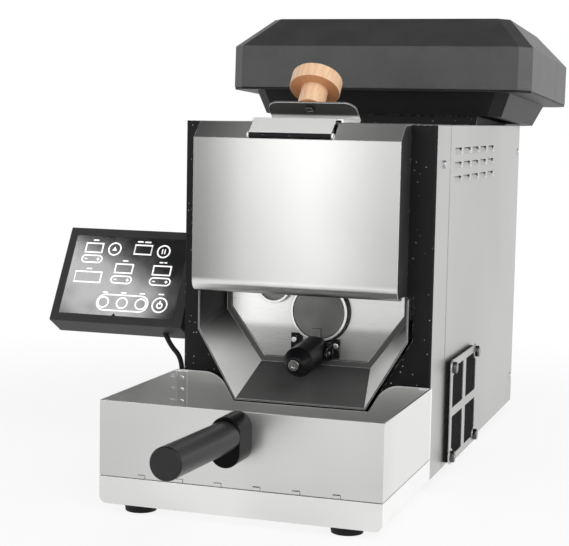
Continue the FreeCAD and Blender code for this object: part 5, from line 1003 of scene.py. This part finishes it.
# %% [markdown]
# The round keys carry plain signs only: a triangle, the two bars of a pause sign, and a ring with
# a stroke for power. Three more keys share one long rounded field.

# %% Round keys
KEY_FIELD, FIELD_CORNER = (51.5, 11.0, 43.8, 14.2), 7.0
FIELD_KEYS, FIELD_KEY_R = (35.4, 51.2, 66.9), 4.9
TRIANGLE_KEY, TRIANGLE_KEY_R = (34.6, 56.3), 5.7
TRIANGLE, TRIANGLE_R = (34.6, 56.1), 2.3
PAUSE_KEY, PAUSE_KEY_R = (76.2, 56.1), 5.6
PAUSE_BARS, PAUSE_W, PAUSE_H = (75.1, 77.3), 0.9, 4.2
POWER_KEY, POWER_KEY_R = (82.6, 11.2), 6.5
POWER_RING, POWER_RING_R = (82.6, 10.8), 2.7
POWER_STROKE = (82.6, 13.3, 1.0, 3.2)

marks.append(box_mark(*KEY_FIELD, FIELD_CORNER))
for x in FIELD_KEYS:
    marks.append(round_mark(x, KEY_FIELD[1], FIELD_KEY_R))
marks.append(round_mark(*TRIANGLE_KEY, TRIANGLE_KEY_R))
marks.append(round_mark(*TRIANGLE, TRIANGLE_R, corners=3))
marks.append(round_mark(*PAUSE_KEY, PAUSE_KEY_R))
for x in PAUSE_BARS:
    marks.append(box_mark(x, PAUSE_KEY[1], PAUSE_W, PAUSE_H, SIGN_CORNER, line=0))
marks.append(round_mark(*POWER_KEY, POWER_KEY_R))
marks.append(round_mark(*POWER_RING, POWER_RING_R))
marks.append(box_mark(*POWER_STROKE, SIGN_CORNER, line=0))
print("marks:", len(marks))

# %% [markdown]
# The marks are joined into one mesh, given a hair of thickness with Solidify and laid on the face
# of the glass, because the glass is too dark to show anything under it. The glass leans back by
# 30 degrees about its box's lower front edge. So the joined mesh is tipped upright, moved to its
# place on the box, leaned, and brought to the box. Applying all that writes it into the mesh, which
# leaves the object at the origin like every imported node.

# %% Lay the marks on the glass
GLASS_LEFT, GLASS_LOW, GLASS_FACE = -202.0, 112.5, 0.3
BOX_LOW, LEAN = 106.0, math.radians(30.0)
INK = 0.05 * MM

clear_selection()
for mark in marks:
    mark.select_set(True)
bpy.context.view_layer.objects.active = marks[0]
bpy.ops.object.join()
panel_marks = bpy.context.object
panel_marks.name = "panel_marks"
bpy.ops.object.transform_apply(location=True, rotation=True, scale=True)
bpy.ops.object.modifier_add(type="SOLIDIFY")
panel_marks.modifiers[-1].thickness = INK
panel_marks.modifiers[-1].offset = 1.0
bpy.ops.object.modifier_apply(modifier=panel_marks.modifiers[-1].name)

stand_up = Matrix.Rotation(math.radians(90.0), 4, "X")
on_glass = Matrix.Translation(Vector((GLASS_LEFT, GLASS_FACE, GLASS_LOW - BOX_LOW)) * MM)
lean_back = Matrix.Rotation(-LEAN, 4, "X")
panel_marks.matrix_world = Matrix.Translation(place(0, 0, BOX_LOW)) @ lean_back @ on_glass @ stand_up
bpy.ops.object.transform_apply(location=True, rotation=True, scale=True)
wear(panel_marks, ink_finish)
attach(panel_marks, "frame")
print("panel marks:", len(panel_marks.data.polygons), "faces")

# %% [markdown]
# A short lead drops out of the control box and goes into the body's side. A lead has one smooth line, so it
# is a NURBS curve through a few control points with a round bevel, not a chain of straight tubes. Order 3
# keeps it near its points, and endpoint use makes it start and end on the first and the last. Both ends are
# held. Both ends are held, so it is declared as a cord that goes back in.

# %% Control lead
LEAD_ROUTE = ((-116.5, 101.0), (-112.0, 91.0), (-102.5, 82.0), (-101.0, 66.0), (-92.0, 64.0))
LEAD_Y, LEAD_R = 12.34, 1.9

line = bpy.data.curves.new("control_lead", "CURVE")
line.dimensions = "3D"
spline = line.splines.new("NURBS")
spline.points.add(len(LEAD_ROUTE) - 1)
for point, (x, z) in zip(spline.points, LEAD_ROUTE):
    point.co = (*place(x, LEAD_Y, z), 1.0)
spline.order_u = 3
spline.use_endpoint_u = True
spline.resolution_u = 12
line.bevel_depth = LEAD_R * MM
line.bevel_resolution = 6
line.use_fill_caps = True
control_lead = bpy.data.objects.new("control_lead", line)
bpy.context.scene.collection.objects.link(control_lead)
control_lead.data.materials.append(rubber)
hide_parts("control_cable")
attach(control_lead, "frame")

# %% [markdown]
# The machine stands on a plain pale floor. It is one large plane, far bigger than the view, with
# a soft white diffuse surface that takes the machine's shadow.

# %% Floor
FLOOR_SIZE, FLOOR_BACK = 16.0, 3.0

clear_selection()
bpy.ops.mesh.primitive_plane_add(size=FLOOR_SIZE, location=(0.0, FLOOR_BACK, 0.0))
floor = bpy.context.object
floor.name = "floor"
bpy.ops.object.transform_apply(location=True, rotation=False, scale=False)
floor_finish, tree, shader = start_finish("Pale floor", (0.90, 0.90, 0.90), roughness=0.9, specular=0.1)
print("floor:", FLOOR_SIZE, "m wide")

# %% [markdown]
# For the camera, for glossy reflections and for glass the floor is mostly plain white near the
# machine, where the soft shadow still shows through, and fully white far from it. That way no
# horizon line shows, and no extra light is needed for it. The Light Path node tells which rays
# are which, and the white is mixed over the diffuse surface for those three kinds only.

# %% Floor finish
FLOOR_LIFT, LIFT_NEAR, LIFT_FAR = 0.86, 0.30, 0.75

distance = add(tree, "VectorMath", operation="LENGTH")
wire(tree, own_place(tree), distance.inputs[0])
whiteness = spread(tree, distance.outputs["Value"], LIFT_NEAR, LIFT_FAR, FLOOR_LIFT, 1.0)
rays = add(tree, "LightPath")
seen = work_out(tree, "MAXIMUM", rays.outputs["Is Camera Ray"], rays.outputs["Is Glossy Ray"])
seen = work_out(tree, "MAXIMUM", seen, rays.outputs["Is Transmission Ray"])
white = add(tree, "Emission")
white.inputs["Strength"].default_value = 1.0
joined = add(tree, "MixShader")
wire(tree, times(tree, whiteness, seen), joined.inputs[0])
wire(tree, shader.outputs[0], joined.inputs[1])
wire(tree, white.outputs[0], joined.inputs[2])
wire(tree, joined.outputs[0], tree.nodes["Material Output"].inputs["Surface"])
wear(floor, floor_finish)
print("floor ready")

# %% [markdown]
# The light is a plain studio. Its base is an even pale world. The camera sees the world as white,
# and reflections see white walls under a darker ceiling, as in a real studio. The dark ceiling
# keeps the faces that lean back, such as the cover's bevel and the glass, from going milky.

# %% World
WORLD_LIGHT, CEILING = 0.50, 0.22
WALLS_END, CEILING_STARTS = 0.25, 0.65

world = bpy.data.worlds.new("Studio")
bpy.context.scene.world = world
world.use_nodes = True
tree = world.node_tree
background = tree.nodes["Background"]
rays = add(tree, "LightPath")
mirrored = work_out(tree, "MAXIMUM", rays.outputs["Is Glossy Ray"], rays.outputs["Is Transmission Ray"])
sky_axes = axes_of(tree, add(tree, "TexCoord").outputs["Generated"])
walls = spread(tree, sky_axes["Z"], WALLS_END, CEILING_STARTS, 1.0, CEILING)
for_mirrors = choose_level(tree, mirrored, WORLD_LIGHT, walls)
for_camera = choose_level(tree, rays.outputs["Is Camera Ray"], for_mirrors, 1.0)
wire(tree, for_camera, background.inputs["Strength"])
background.inputs["Color"].default_value = (1.0, 1.0, 1.0, 1.0)
print("world ready")

# %% [markdown]
# Three area lamps add shape to the even light: a large soft key high on the right, a wide one low
# in front that reaches under the cover, and one far out on the right that catches the hood's cut
# corner. With the world they light a white card at about its own brightness, so every colour
# comes out close to how it was written. An area lamp shines along its own minus Z, and a tracking
# rotation aims that at the machine.

# %% Aimed lamps
AIMED_LAMPS = (
    # name, place, width, height, power, aimed at
    ("Key", (1.2, -1.2, 1.4), 1.0, 1.0, 13.0, (0.03, 0.0, 0.18)),
    ("Front", (-0.1, -1.9, 0.42), 2.0, 0.8, 5.6, (0.03, -0.1, 0.12)),
    ("Right", (1.9, -0.1, 0.5), 0.6, 0.5, 4.5, (0.15, 0.05, 0.25)),
)


def lamp(name, location, width, height, power):
    """A soft rectangular lamp, not yet aimed."""
    data = bpy.data.lights.new(name, "AREA")
    data.shape, data.size, data.size_y, data.energy = "RECTANGLE", width, height, power
    made = bpy.data.objects.new(name, data)
    bpy.context.scene.collection.objects.link(made)
    made.location = location
    return made


for name, location, width, height, power, target in AIMED_LAMPS:
    made = lamp(name, location, width, height, power)
    made.rotation_euler = (Vector(target) - made.location).to_track_quat("-Z", "Y").to_euler()
print("aimed lamps:", [row[0] for row in AIMED_LAMPS])

# %% [markdown]
# A small lamp up on the left shows as a slanted reflection in the dark glass. The slant of its
# edge is what the glass shows, so it is turned by its own three directions instead: along its
# long edge, across it, and straight away from the glass. Cross products keep the three square.

# %% Slanted lamp
SLANT_PLACE, SLANT_SLIDE = Vector((-0.7420, -0.9035, 1.2018)), 0.085
SLANT_EDGE, SLANT_AWAY = Vector((0.887, -0.428, -0.182)), Vector((-0.41, -0.545, 0.731))
SLANT_W, SLANT_H, SLANT_POWER = 0.30, 0.12, 1.45

slanted = lamp("Left", (0.0, 0.0, 0.0), SLANT_W, SLANT_H, SLANT_POWER)
edge_along = SLANT_EDGE.normalized()
edge_across = SLANT_AWAY.normalized().cross(edge_along).normalized()
away = edge_along.cross(edge_across)
slant_turn = Matrix((edge_along, edge_across, away)).transposed().to_4x4()
slanted.matrix_world = Matrix.Translation(SLANT_PLACE - SLANT_SLIDE * edge_along) @ slant_turn
